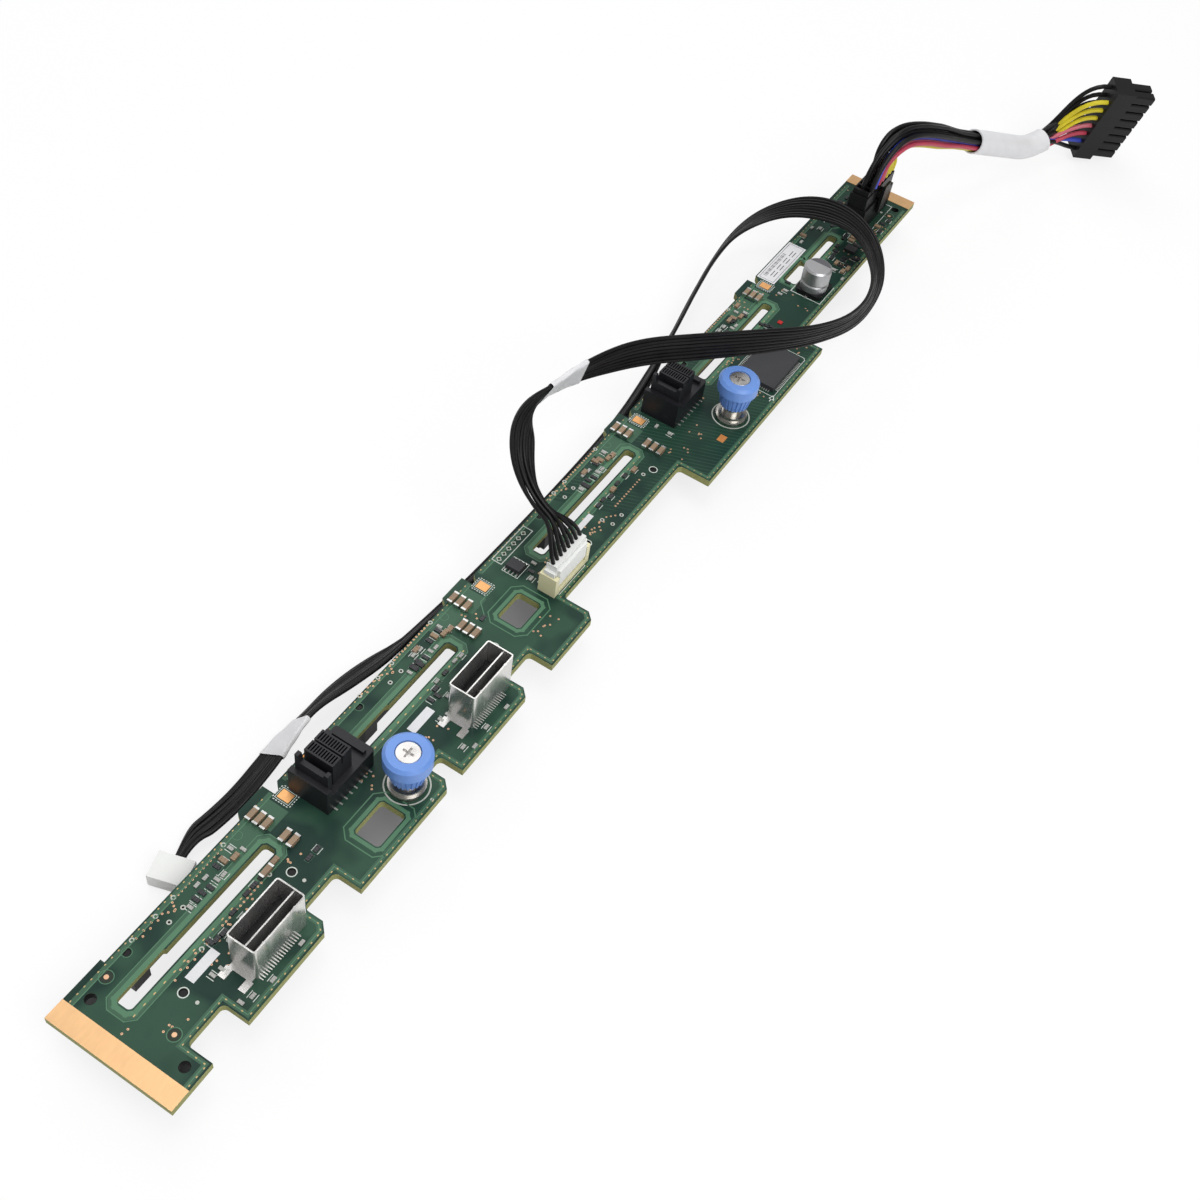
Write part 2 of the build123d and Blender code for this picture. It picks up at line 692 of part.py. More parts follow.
# ------------------------------------------------------------------ capacitor
can_x, can_y, _ = at(CAN_AT)
with BuildPart() as capacitor_base:
    with BuildSketch(Plane.XY.offset(TOP)):
        with Locations((can_x, can_y)):
            base = Rectangle(CAN_BASE, CAN_BASE)
        chamfer(base.vertices().group_by(Axis.X)[0], 1.6)
    extrude(amount=CAN_BASE_H)
    with BuildSketch(Plane.XY.offset(TOP)):
        with Locations((can_x, can_y)):
            Rectangle(CAN_BASE + 3, 0.9)
    extrude(amount=0.3, mode=Mode.SUBTRACT)
finish(capacitor_base.part, "capacitor_base")

with BuildPart() as capacitor_can:
    with BuildSketch(Plane.XZ.offset(-can_y)):
        foot = TOP + CAN_BASE_H
        groove = foot + CAN_GROOVE_AT
        with BuildLine():
            Polyline(
                (can_x, foot),
                (can_x + CAN_R - 0.1, foot),
                (can_x + CAN_R, groove - 0.5),
                (can_x + CAN_R - CAN_GROOVE, groove),
                (can_x + CAN_R, groove + 0.5),
                (can_x + CAN_R, TOP + CAN_H - 0.6),
                (can_x + CAN_R - 0.6, TOP + CAN_H),
                (can_x, TOP + CAN_H),
                close=True,
            )
        make_face()
    revolve(axis=Axis((can_x, can_y, 0), (0, 0, 1)))
finish(capacitor_can.part, "capacitor_can")

with BuildPart() as capacitor_leads:
    with BuildSketch(Plane.XY.offset(TOP)):
        with Locations((can_x, can_y)):
            with GridLocations(CAN_BASE - 1.0, 1, 2, 1):
                Rectangle(3.4, 0.8)
    extrude(amount=0.25)
finish(capacitor_leads.part, "capacitor_leads")


# ------------------------------------------------------------------ chips
def chip_body(spot, length, width, height, standoff):
    """A moulded package with its belly a little above the board and drafted sides."""
    with BuildSketch(Plane.XY.offset(TOP + standoff)) as belly:
        with Locations(at(spot)[:2]):
            Rectangle(length, width)
    extrude(belly.sketch, amount=height - standoff, taper=6)


with BuildPart() as controller_chip:
    chip_body(CHIP_AT, CHIP_L, CHIP_W, CHIP_H, CHIP_STANDOFF)
finish(controller_chip.part, "controller_chip")

with BuildPart() as controller_leads:
    u, v = CHIP_AT
    along = int((CHIP_L - 1.6) / CHIP_LEAD_PITCH)
    across = int((CHIP_W - 1.6) / CHIP_LEAD_PITCH)
    with BuildSketch(Plane.XY.offset(TOP)):
        with Locations((bx(u), by(v))):
            with GridLocations(CHIP_LEAD_PITCH, CHIP_W + CHIP_LEAD_OUT, along, 2):
                Rectangle(CHIP_LEAD_W, CHIP_LEAD_OUT)
            with GridLocations(CHIP_L + CHIP_LEAD_OUT, CHIP_LEAD_PITCH, 2, across):
                Rectangle(CHIP_LEAD_OUT, CHIP_LEAD_W)
    extrude(amount=CHIP_STANDOFF + 0.1)
finish(controller_leads.part, "controller_leads")

with BuildPart() as small_chips:
    chip_body(MEMORY_AT, MEMORY_L, MEMORY_W, MEMORY_H, 0.1)
    chip_body(REGULATOR_AT, REGULATOR_S, REGULATOR_S + 0.6, REGULATOR_H, 0)
finish(small_chips.part, "small_chips")

with BuildPart() as memory_pins:
    with BuildSketch(Plane.XY.offset(TOP)):
        with Locations(at(MEMORY_AT)[:2]):
            with GridLocations(MEMORY_L + PIN_OUT, CONTACT_PITCH, 2, MEMORY_PINS):
                Rectangle(PIN_OUT, PIN_W)
    extrude(amount=0.25)
finish(memory_pins.part, "memory_pins")


# ------------------------------------------------------------------ ceramic capacitors
ceramic_groups = [                   # first u, first v, number side by side, gap across
    (67.3, 2.8, 3, 2.35), (67.3, 13.3, 2, 2.6),
    (154.4, 1.9, 3, 2.4), (147.8, 9.6, 3, 2.35),
    (242.4, 1.9, 3, 2.4), (242.4, 13.6, 3, 2.6),
    (329.2, 2.7, 3, 2.4),
]
ceramic_spots = [(u, v + i * step) for u, v, n, step in ceramic_groups for i in range(n)]
ceramic_spots.append((57.0, 16.0))

with BuildPart() as ceramic_bodies:
    with BuildSketch(Plane.XY.offset(TOP)):
        with Locations(*[at(spot)[:2] for spot in ceramic_spots]):
            Rectangle(CERAMIC_L - 2 * CERAMIC_END, CERAMIC_W - 0.1)
    extrude(amount=CERAMIC_H - 0.05)
finish(ceramic_bodies.part, "ceramic_bodies")

with BuildPart() as ceramic_ends:
    with BuildSketch(Plane.XY.offset(TOP)):
        with Locations(*[at(spot)[:2] for spot in ceramic_spots]):
            with GridLocations(CERAMIC_L - CERAMIC_END, 1, 2, 1):
                Rectangle(CERAMIC_END, CERAMIC_W)
    extrude(amount=CERAMIC_H)
finish(ceramic_ends.part, "ceramic_ends")


# ------------------------------------------------------------------ cable header and plug
hx, hy, _ = at(HEADER_AT)
inner_l = HEADER_L - 2 * HEADER_WALL
inner_w = HEADER_W - 2 * HEADER_SIDE
with BuildPart() as cable_header:
    with BuildSketch(Plane.XY.offset(TOP)):
        with Locations((hx, hy)):
            Rectangle(HEADER_L, HEADER_W)
    extrude(amount=HEADER_H)
    with BuildSketch(Plane.XY.offset(TOP + HEADER_FLOOR)):
        with Locations((hx, hy)):
            Rectangle(inner_l, inner_w)
    extrude(amount=HEADER_H, mode=Mode.SUBTRACT)
    # the rear is open above the floor, between two narrow returns
    with BuildSketch(Plane.XY.offset(TOP + HEADER_FLOOR)):
        with Locations((hx, hy - (HEADER_W - HEADER_SIDE) / 2)):
            Rectangle(inner_l - 1.2, HEADER_SIDE + 0.2)
    extrude(amount=HEADER_H, mode=Mode.SUBTRACT)
finish(cable_header.part, "cable_header")

with BuildPart() as header_pins:
    with BuildSketch(Plane.XY.offset(TOP + HEADER_FLOOR)):
        with Locations((hx, hy)):
            with GridLocations(HEADER_PITCH, 1, HEADER_POLES, 1):
                Rectangle(0.5, 0.5)
    extrude(amount=0.6)
finish(header_pins.part, "header_pins")

with BuildPart() as cable_plug:
    seat = TOP + HEADER_FLOOR + 0.6
    plug_l = inner_l - 2 * PLUG_CLEAR
    plug_w = inner_w - 2 * PLUG_CLEAR
    with BuildSketch(Plane.XY.offset(seat)):
        with Locations((hx, hy)):
            Rectangle(plug_l, plug_w)
    extrude(amount=TOP + PLUG_TOP - seat)
    # thicker rear face between the returns, and a shoulder over the posts
    with BuildSketch(Plane.XY.offset(TOP + PLUG_FACE_AT)):
        with Locations((hx, hy - plug_w / 2 - HEADER_SIDE / 2)):
            Rectangle(inner_l - 1.2 - 2 * PLUG_CLEAR, HEADER_SIDE)
    extrude(amount=PLUG_TOP - PLUG_FACE_AT - 1.6)
    with BuildSketch(Plane.XY.offset(TOP + HEADER_H + PLUG_CLEAR)):
        with Locations((hx, hy)):
            Rectangle(HEADER_L - 0.8, plug_w)
    extrude(amount=PLUG_SHOULDER_H)
    # grooves of the eight wire bores, open towards the datum edge
    with BuildSketch(Plane.XY.offset(TOP + PLUG_TOP)):
        with Locations((hx, hy + plug_w / 2 - 0.6)):
            with GridLocations(HEADER_PITCH - 0.05, 1, HEADER_POLES, 1):
                Rectangle(WIRE_SLOT - 0.3, 1.6)
    extrude(amount=-1.8, mode=Mode.SUBTRACT)
finish(cable_plug.part, "cable_plug")


# ------------------------------------------------------------------ power header and plug
px, py, _ = at(POWER_AT)
well_l = POWER_L - 2 * POWER_WALL
well_w = POWER_W - 2 * POWER_WALL
with BuildPart() as power_header:
    with BuildSketch(Plane.XY.offset(TOP)):
        with Locations((px, py)):
            Rectangle(POWER_L, POWER_W)
    extrude(amount=POWER_H)
    with BuildSketch(Plane.XY.offset(TOP + POWER_FLOOR)):
        with Locations((px, py)):
            Rectangle(well_l, well_w)
    extrude(amount=POWER_H, mode=Mode.SUBTRACT)
    # catch ramp for the latch on the rear wall
    with BuildSketch(Plane.YZ.offset(px - LATCH_W / 2)):
        rear = py - POWER_W / 2
        with BuildLine():
            Polyline(
                (rear, TOP + POWER_H - 3.2),
                (rear - LATCH_GAP + 0.15, TOP + POWER_H - 3.2),
                (rear, TOP + POWER_H - 0.6),
                close=True,
            )
        make_face()
    extrude(amount=LATCH_W)
finish(power_header.part, "power_header")

with BuildPart() as power_plug:
    with BuildSketch(Plane.XY.offset(TOP + POWER_FLOOR + 0.3)):
        with Locations((px, py)):
            Rectangle(well_l - 2 * PLUG_CLEAR, well_w - 2 * PLUG_CLEAR)
    extrude(amount=POWER_PLUG_TOP - POWER_FLOOR - 0.3)
    with BuildSketch(Plane.XY.offset(TOP + POWER_H)):
        with Locations((px, py)):
            Rectangle(POWER_L - 0.8, well_w + 0.6)
    extrude(amount=POWER_PLUG_TOP - POWER_H - 2.0)
    with BuildSketch(Plane.XY.offset(TOP + POWER_PLUG_TOP)):
        with Locations((px, py)):
            with GridLocations(POWER_PITCH, POWER_PITCH, POWER_COLS, 2):
                Rectangle(POWER_BORE, POWER_BORE)
    extrude(amount=-POWER_BORE_D, mode=Mode.SUBTRACT)
    # latch lever: hinged near the top, hooked under the catch ramp
    lever_y = py - POWER_W / 2 - LATCH_GAP
    with BuildSketch(Plane.YZ.offset(px - LATCH_W / 2)):
        with BuildLine():
            Polyline(
                (lever_y, TOP + POWER_H - 4.8),
                (lever_y + LATCH_GAP - 0.15, TOP + POWER_H - 4.8),
                (lever_y + LATCH_GAP - 0.15, TOP + POWER_H - 3.4),
                (lever_y, TOP + POWER_H - 3.4),
                (lever_y, TOP + POWER_H + 1.6),
                (py, TOP + POWER_H + 1.6),
                (py, TOP + POWER_H + 3.2),
                (lever_y, TOP + POWER_H + 3.2),
                (lever_y - 0.3, TOP + POWER_PLUG_TOP - 0.4),
                (lever_y - 0.3 - LATCH_T, TOP + POWER_PLUG_TOP - 0.4),
                (lever_y - LATCH_T, TOP + POWER_H - 4.8),
                close=True,
            )
        make_face()
    extrude(amount=LATCH_W)
finish(power_plug.part, "power_plug")


# ------------------------------------------------------------------ free cords
def cord_path(points):
    """Straight runs joined by arcs as large as the runs allow; prints the arc radii."""
    radii = []
    for a, b, c in zip(points, points[1:], points[2:]):
        before, after = Vector(*b) - Vector(*a), Vector(*c) - Vector(*b)
        half = radians(before.get_angle(after)) / 2
        radii.append(0.45 * min(before.length, after.length) / tan(half))
    print("arc radii:", " ".join(f"{r:.1f}" for r in radii))
    return FilletPolyline(*points, radius=radii)


def tube(points, diameter, name):
    """A plain round cord along its route; prints its length and checks its volume."""
    with BuildPart() as cord:
        with BuildLine():
            path = cord_path(points)
        with BuildSketch(Plane(origin=path @ 0, z_dir=path % 0)):
            Circle(diameter / 2)
        sweep(path=path)
    section = 3.14159265 * diameter ** 2 / 4
    print(f"{name}: length {path.length:.1f}, volume ratio "
          f"{cord.part.volume / section / path.length:.4f}")
    finish(cord.part, name)
    return path


def route(stations):
    """Route points given as board stations and heights over the component side."""
    return [at((u, v), height) for u, v, height in stations]


# The harness rises from the power plug, arches over the far end and comes down to the plug.
BIG_PLUG_AT = (511.8, 63.9, 8.4)
BIG_PLUG_ALONG = Vector(-0.078, -0.216, 0.973)
BIG_PLUG_MATE = Vector(0.656, -0.746, -0.113)
mate = BIG_PLUG_MATE.normalized()
along = (BIG_PLUG_ALONG - mate * BIG_PLUG_ALONG.dot(mate)).normalized()
big_origin = Vector(*at(BIG_PLUG_AT[:2], BIG_PLUG_AT[2]))
entry = big_origin - along * 8.0
lead_in = entry - mate * 10.0
harness_route = route([
    (POWER_AT[0], POWER_AT[1], POWER_PLUG_TOP),
    (399.9, 15.2, 23.6),
    (402.8, 16.3, 29.0),
    (408.8, 18.5, 31.2),
    (417.8, 21.8, 29.0),
    (428.5, 25.6, 24.5),
    (444.0, 31.2, 17.4),
    (466.5, 39.6, 7.8),
    (489.5, 47.3, -2.4),
]) + [tuple(lead_in), tuple(entry)]
harness_path = tube(harness_route, HARNESS_D, "harness_cord")

with BuildPart() as harness_sleeve:
    pieces = harness_path.edges().sort_by(harness_path)
    stretch = Wire(pieces[12:16])
    with BuildSketch(Plane(origin=stretch @ 0, z_dir=stretch % 0)):
        Circle(HARNESS_D / 2 + SLEEVE_CLEAR + SLEEVE_T)
        Circle(HARNESS_D / 2 + SLEEVE_CLEAR, mode=Mode.SUBTRACT)
    sweep(path=stretch)
finish(harness_sleeve.part, "harness_sleeve")

big = Plane(origin=big_origin, x_dir=along, z_dir=mate)
with BuildPart() as big_plug:
    with BuildSketch(big):
        Rectangle(BIG_COLLAR_L, BIG_COLLAR_W)
    extrude(amount=BIG_COLLAR_H)
    with BuildSketch(big.offset(BIG_COLLAR_H)):
        with GridLocations(BIG_PITCH, BIG_PITCH + 0.2, BIG_COLS, 2):
            RectangleRounded(BIG_TUBE, BIG_TUBE, 0.7)
    extrude(amount=BIG_TUBE_H)
    with BuildSketch(big.offset(BIG_COLLAR_H + BIG_TUBE_H)):
        with GridLocations(BIG_PITCH, BIG_PITCH + 0.2, BIG_COLS, 2):
            Rectangle(BIG_BORE, BIG_BORE)
    extrude(amount=-BIG_BORE_D, mode=Mode.SUBTRACT)
finish(big_plug.part, "big_plug")

with BuildPart() as big_plug_latch:
    side = BIG_COLLAR_W / 2
    outer = side + BIG_LATCH_GAP
    reach = BIG_COLLAR_H + BIG_TUBE_H + 0.6
    with BuildSketch(Plane(origin=big_origin, x_dir=mate, z_dir=along).offset(-BIG_LATCH_W / 2)):
        with BuildLine():
            Polyline(
                (2.0, outer),
                (BIG_COLLAR_H - 3.0, outer),
                (BIG_COLLAR_H - 3.0, side),
                (BIG_COLLAR_H - 0.6, side),
                (BIG_COLLAR_H - 0.6, outer),
                (reach, outer),
                (reach, outer + BIG_LATCH_T + 0.9),
                (reach - 1.6, outer + BIG_LATCH_T + 0.9),
                (reach - 2.6, outer + BIG_LATCH_T),
                (2.0, outer + BIG_LATCH_T),
                close=True,
            )
        make_face()
    extrude(amount=BIG_LATCH_W)
finish(big_plug_latch.part, "big_plug_latch")

# The ribbon leaves the white plug, loops over the board, passes under it and comes out again.
ribbon_route = route([
    (HEADER_AT[0], HEADER_AT[1], PLUG_TOP),
    (181.2, 18.6, 20.5), (182.3, 11.6, 27.5), (186.5, 3.0, 31.5), (194.0, -4.2, 33.5),
    (204.5, -8.0, 33.0), (218.0, -8.2, 31.0), (234.0, -5.2, 28.5), (250.8, 2.0, 27.0),
    (266.0, 13.5, 25.0), (285.0, 26.0, 21.0), (306.5, 37.5, 15.5), (331.0, 43.6, 10.0),
    (353.0, 41.0, 8.5), (367.5, 32.5, 10.5), (374.3, 21.8, 13.0), (375.8, 9.5, 13.0),
    (374.5, -2.5, 9.5), (369.5, -12.2, 4.0), (359.5, -17.6, -1.0), (345.0, -18.2, -4.5),
    (325.0, -15.0, -6.0), (300.0, -9.8, -6.8), (276.0, -5.0, -8.0), (252.0, -2.2, -9.0),
    (222.0, -1.4, -9.3), (192.0, -1.3, -9.3), (164.0, -1.6, -9.2), (146.0, -2.8, -8.4),
    (131.0, -4.6, -7.2), (118.0, -6.9, -6.4), (106.0, -8.7, -6.3), (95.0, -8.9, -6.9),
    (84.0, -7.8, -7.8), (73.0, -7.4, -8.8), (64.0, -8.2, -9.2), (57.0, -9.4, -9.2),
    (50.6, -7.4, -9.2),
])
ribbon_path = tube(ribbon_route, RIBBON_D, "ribbon_cord")

with BuildPart() as ribbon_end_plug:
    way_out = ribbon_path % 1
    nose = Plane(origin=ribbon_path @ 1, z_dir=way_out, x_dir=Vector(0, 0, 1).cross(way_out))
    with BuildSketch(nose):
        Rectangle(END_PLUG_L, END_PLUG_T)
    extrude(amount=END_PLUG_W)
finish(ribbon_end_plug.part, "ribbon_end_plug")
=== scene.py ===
"""Drive backplane board: finishes, prints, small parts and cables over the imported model."""

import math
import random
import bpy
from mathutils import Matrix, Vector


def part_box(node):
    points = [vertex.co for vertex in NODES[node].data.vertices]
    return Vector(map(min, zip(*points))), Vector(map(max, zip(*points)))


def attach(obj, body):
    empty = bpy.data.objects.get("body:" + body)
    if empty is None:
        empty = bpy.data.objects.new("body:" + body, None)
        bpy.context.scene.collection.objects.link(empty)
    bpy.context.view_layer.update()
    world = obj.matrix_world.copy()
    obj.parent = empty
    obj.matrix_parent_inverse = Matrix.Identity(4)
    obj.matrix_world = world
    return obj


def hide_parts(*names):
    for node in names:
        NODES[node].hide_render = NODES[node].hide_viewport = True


bl_info = {
    "name": "Drive backplane board",
    "version": (1, 0, 0),
    "blender": (4, 5, 0),
    "location": "3D View > Sidebar > Backplane",
    "description": "Dresses a drive backplane board with finishes, prints, parts and cables",
    "category": "Object",
}

import bpy
from mathutils import Euler, Matrix, Vector

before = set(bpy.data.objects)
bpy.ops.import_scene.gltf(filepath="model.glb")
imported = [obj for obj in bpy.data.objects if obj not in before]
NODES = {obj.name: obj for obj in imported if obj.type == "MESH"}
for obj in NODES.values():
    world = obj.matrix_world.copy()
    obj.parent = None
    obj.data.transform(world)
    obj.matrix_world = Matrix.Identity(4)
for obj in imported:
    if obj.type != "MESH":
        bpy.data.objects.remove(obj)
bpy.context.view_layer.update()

MM = 0.001
LOW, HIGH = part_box("circuit_board")
NEAR = LOW[0]                        # near end of the board
DATUM = HIGH[1] - 0.8 * MM           # datum edge, behind its bumps
TOP = HIGH[2]                        # component side
FLOOR = 0.0
ROOT = "board"
PITCH = 87.0                         # drive to drive
COLUMNS = 4


def at(u, v, z=0.0):
    """Board stations in millimetres (along, across, over the component side) as a point."""
    return Vector((NEAR + u * MM, DATUM - v * MM, TOP + z * MM))


# ---------------------------------------------------------------- node arithmetic


class Flow:
    """A socket in a material; Python's operators add the nodes that work it out."""

    def __init__(self, finish, socket):
        self.finish = finish
        self.socket = socket

    def maths(self, operation, other, swap=False):
        a, b = (other, self) if swap else (self, other)
        return self.finish.node("ShaderNodeMath", {"operation": operation}, a, b)

    def __add__(self, other):
        return self.maths("ADD", other)

    def __radd__(self, other):
        return self.maths("ADD", other, True)

    def __sub__(self, other):
        return self.maths("SUBTRACT", other)

    def __rsub__(self, other):
        return self.maths("SUBTRACT", other, True)

    def __mul__(self, other):
        return self.maths("MULTIPLY", other)

    def __rmul__(self, other):
        return self.maths("MULTIPLY", other, True)

    def __truediv__(self, other):
        return self.maths("DIVIDE", other)

    def __gt__(self, other):
        return self.maths("GREATER_THAN", other)

    def __lt__(self, other):
        return self.maths("LESS_THAN", other)

    def __mod__(self, other):
        return self.maths("MODULO", other)


class Finish:
    """A surface finish: one material, its shader and the nodes that feed it."""

    def __init__(self, name, **constants):
        self.material = bpy.data.materials.new(name)
        self.material.use_nodes = True
        self.tree = self.material.node_tree
        self.tree.nodes.clear()
        self.output = self.tree.nodes.new("ShaderNodeOutputMaterial")
        self.shader = self.tree.nodes.new("ShaderNodeBsdfPrincipled")
        self.tree.links.new(self.shader.outputs[0], self.output.inputs[0])
        for socket, value in constants.items():
            self.shader.inputs[socket.replace("_", " ").title().replace("Ior", "IOR")]\
                .default_value = value
        self.material.diffuse_color = tuple(self.shader.inputs["Base Color"].default_value)

    def node(self, kind, settings=None, *values, out=0, **named):
        node = self.tree.nodes.new(kind)
        for key, value in (settings or {}).items():
            if key == "stops":
                ramp = node.color_ramp
                while len(ramp.elements) < len(value):
                    ramp.elements.new(0.5)
                for element, (place, colour) in zip(ramp.elements, value):
                    element.position = place
                    element.color = (*colour, 1) if len(colour) == 3 else colour
            else:
                setattr(node, key, value)
        sockets = [s for s in node.inputs if s.enabled]
        for target, value in list(zip(sockets, values)) + [
            (node.inputs[key.replace("_", " ").title()], value) for key, value in named.items()
        ]:
            if isinstance(value, Flow):
                self.tree.links.new(value.socket, target)
            elif value is not None:
                target.default_value = value
        outputs = [s for s in node.outputs if s.enabled]
        return Flow(self, outputs[out])

    def feed(self, **flows):
        for socket, flow in flows.items():
            self.tree.links.new(flow.socket, self.shader.inputs[socket.replace("_", " ").title()])
        return self

    def place(self):
        return self.node("ShaderNodeTexCoord", None, out=3)

    def axis(self, letter):
        split = self.node("ShaderNodeSeparateXYZ", None, self.place())
        return Flow(self, split.socket.node.outputs[letter])

    def grain(self, scale, detail=3.0, stretch=None):
        """Noise over the piece, drawn out along its axes by stretch."""
        where = self.place()
        if stretch:
            where = self.node("ShaderNodeVectorMath", {"operation": "MULTIPLY"}, where, stretch)
        return self.node("ShaderNodeTexNoise", None, where, Scale=scale, Detail=detail,
                         Roughness=0.6)

    def ranged(self, share, low, high, start=0.3, end=0.7):
        """The stretch of a share from start to end, spread from low to high."""
        return self.node("ShaderNodeMapRange", None, share, start, end, low, high)

    def blend(self, share, dark, light):
        return self.node(
            "ShaderNodeMix", {"data_type": "RGBA"}, share,
            (*dark, 1) if isinstance(dark, tuple) else dark,
            (*light, 1) if isinstance(light, tuple) else light,
        )

    def relief(self, height, distance, strength=1.0):
        return self.node("ShaderNodeBump", None, Strength=strength, Distance=distance,
                         Height=height)


def tinted(colour, factor, lift=0.0):
    """A colour made darker or lighter, never past white."""
    return tuple(min(1.0, c * factor + lift) for c in colour)


def board_colour(name):
    return tuple(getattr(bpy.context.scene.backplane_board, name))


def plastic(name, colour, rough, spread=0.25, gloss=0.5):
    """Moulded plastic: faint mould grain and a little variation."""
    finish = Finish(name, base_color=(*colour, 1), roughness=rough, specular_ior_level=gloss)
    speck = finish.grain(900.0, 4.0)
    broad = finish.grain(60.0, 2.0)
    mix = speck * 0.5 + broad * 0.5
    return finish.feed(
        base_color=finish.blend(mix, tinted(colour, 1 - spread),
                                tinted(colour, 1 + spread, 0.002)),
        roughness=finish.ranged(broad, rough - 0.06, rough + 0.08),
        normal=finish.relief(speck, 0.00003),
    )


def metal(name, colour, rough, stretch=None, scale=400.0, metallic=1.0):
    """Sheet or turned metal with fine lines one way and soft stains."""
    finish = Finish(name, base_color=(*colour, 1), metallic=metallic, roughness=rough)
    lines = finish.grain(scale, 3.0, stretch=stretch)
    broad = finish.grain(90.0, 2.0)
    return finish.feed(
        base_color=finish.blend(broad * 0.6 + lines * 0.4, tinted(colour, 0.82), colour),
        roughness=finish.ranged(lines * 0.6 + broad * 0.4, max(0.05, rough - 0.1), rough + 0.12),
        normal=finish.relief(lines, 0.00001),
    )


FINISHES = {}


def finish_of(name):
    """Each finish is made once and shared by the pieces that have it."""
    if name not in FINISHES:
        FINISHES[name] = RECIPES[name]()
    return FINISHES[name].material


def solder_mask():
    """Green mask over copper: faint tracks, slightly lighter pours, laminate on the edges."""
    dark, light = board_colour("mask"), board_colour("mask_light")
    finish = Finish("green_solder_mask", base_color=(*dark, 1), roughness=0.34,
                    specular_ior_level=0.16)
    along, across = finish.axis("X"), finish.axis("Y")
    cells = finish.node("ShaderNodeTexVoronoi", {"feature": "F1", "distance": "MANHATTAN"},
                        finish.place(), Scale=70.0)
    runs = (((along + across * 0.4) * 1000.0) % 1.6) < 0.35
    patches = finish.grain(45.0, 2.0)
    islands = finish.ranged(patches, 0.0, 1.0, 0.46, 0.56)
    tracks = runs * islands * 0.22
    pour = finish.ranged(cells, 0.0, 0.35, 0.2, 0.9)
    face = finish.blend(tracks * 0.7 + pour * 0.2 + islands * 0.04, dark, light)
    layers = ((finish.axis("Z") * 1000.0) % 0.4) / 0.4
    edge = finish.blend(layers, (0.19, 0.20, 0.07), (0.36, 0.36, 0.15))
    normal = finish.node("ShaderNodeNewGeometry", None, out=1)
    upward = finish.node("ShaderNodeSeparateXYZ", None, normal)
    flat = finish.node("ShaderNodeMath", {"operation": "ABSOLUTE"},
                       Flow(finish, upward.socket.node.outputs["Z"])) > 0.5
    fine = finish.grain(1500.0, 3.0)
    return finish.feed(
        base_color=finish.blend(flat, edge, face),
        roughness=0.62 - flat * 0.3 + fine * 0.06,
        normal=finish.relief(tracks * 2.0 + fine * 0.3, 0.00003, 0.6),
    )


def bare_gold(name, colour):
    """Bare plated copper, rubbed along the board."""
    finish = Finish(name, base_color=(*colour, 1), metallic=0.55, roughness=0.36)
    rub = finish.grain(260.0, 5.0, stretch=(1.0, 4.0, 1.0))
    broad = finish.grain(120.0, 3.0)
    return finish.feed(
        base_color=finish.blend(rub * 0.5 + broad * 0.5, tinted(colour, 0.72),
                                tinted(colour, 1.12)),
        roughness=0.3 + rub * 0.2,
        normal=finish.relief(rub, 0.00002),
    )


def printed(name, colour, rough=0.55, gloss=0.25):
    """Screen-printed ink: slightly broken, slightly raised."""
    finish = Finish(name, base_color=(*colour, 1), roughness=rough, specular_ior_level=gloss)
    speck = finish.grain(2600.0, 4.0)
    return finish.feed(
        base_color=finish.blend(speck, tinted(colour, 0.8), colour),
        roughness=rough + speck * 0.1 - 0.05,
        normal=finish.relief(speck, 0.00001),
    )


def insulation(name, colour, rough=0.4, gloss=0.4):
    """Wire insulation: smooth, with a slow change of gloss along the wire."""
    finish = Finish(name, base_color=(*colour, 1), roughness=rough, specular_ior_level=gloss)
    broad = finish.grain(160.0, 3.0)
    fine = finish.grain(1800.0, 2.0)
    return finish.feed(
        base_color=finish.blend(broad, tinted(colour, 0.75), tinted(colour, 1.25, 0.003)),
        roughness=finish.ranged(broad, rough - 0.08, rough + 0.1),
        normal=finish.relief(fine, 0.00002, 0.5),
    )


def film(name, colour):
    """Wrapped white film: soft creases across it, with painted shade in their hollows."""
    finish = Finish(name, base_color=(*colour, 1), roughness=0.42)
    creases_and_shade = finish.grain(140.0, 4.0, stretch=(1.6, 1.0, 1.0))
    return finish.feed(
        # the film is darker where its creases are low: painted shade in their hollows
        base_color=finish.blend(creases_and_shade, tinted(colour, 0.86), colour),
        roughness=0.36 + creases_and_shade * 0.16,
        normal=finish.relief(creases_and_shade, 0.0004, 0.7),
    )


def knob_plastic():
    """Moulded blue plastic with a fine speck."""
    colour = board_colour("knob")
    finish = Finish("blue_knob_plastic", base_color=(*colour, 1), roughness=0.38)
    speck = finish.grain(1100.0, 4.0)
    broad = finish.grain(110.0, 2.0)
    return finish.feed(
        base_color=finish.blend(speck * 0.4 + broad * 0.6, tinted(colour, 0.86),
                                tinted(colour, 1.1, 0.01)),
        roughness=0.34 + broad * 0.12,
        normal=finish.relief(speck, 0.00003),
    )


def fired_ceramic():
    finish = Finish("brown_ceramic", base_color=(0.30, 0.19, 0.11, 1), roughness=0.5)
    speck = finish.grain(2200.0, 5.0)
    broad = finish.grain(170.0, 1.0)
    tone = finish.blend(broad, (0.12, 0.07, 0.04), (0.30, 0.20, 0.12))
    return finish.feed(
        base_color=finish.blend(speck * 0.5, tone, (0.40, 0.30, 0.20)),
        roughness=0.42 + speck * 0.2,
        normal=finish.relief(speck, 0.00002),
    )


def chip_mould():
    finish = Finish("moulded_package", base_color=(0.022, 0.022, 0.026, 1), roughness=0.55)
    speck = finish.grain(2400.0, 5.0)
    broad = finish.grain(80.0, 2.0)
    return finish.feed(
        base_color=finish.blend(speck * 0.6 + broad * 0.4, (0.012, 0.012, 0.014),
                                (0.036, 0.037, 0.042)),
        roughness=0.46 + speck * 0.2,
        normal=finish.relief(speck, 0.00003),
    )


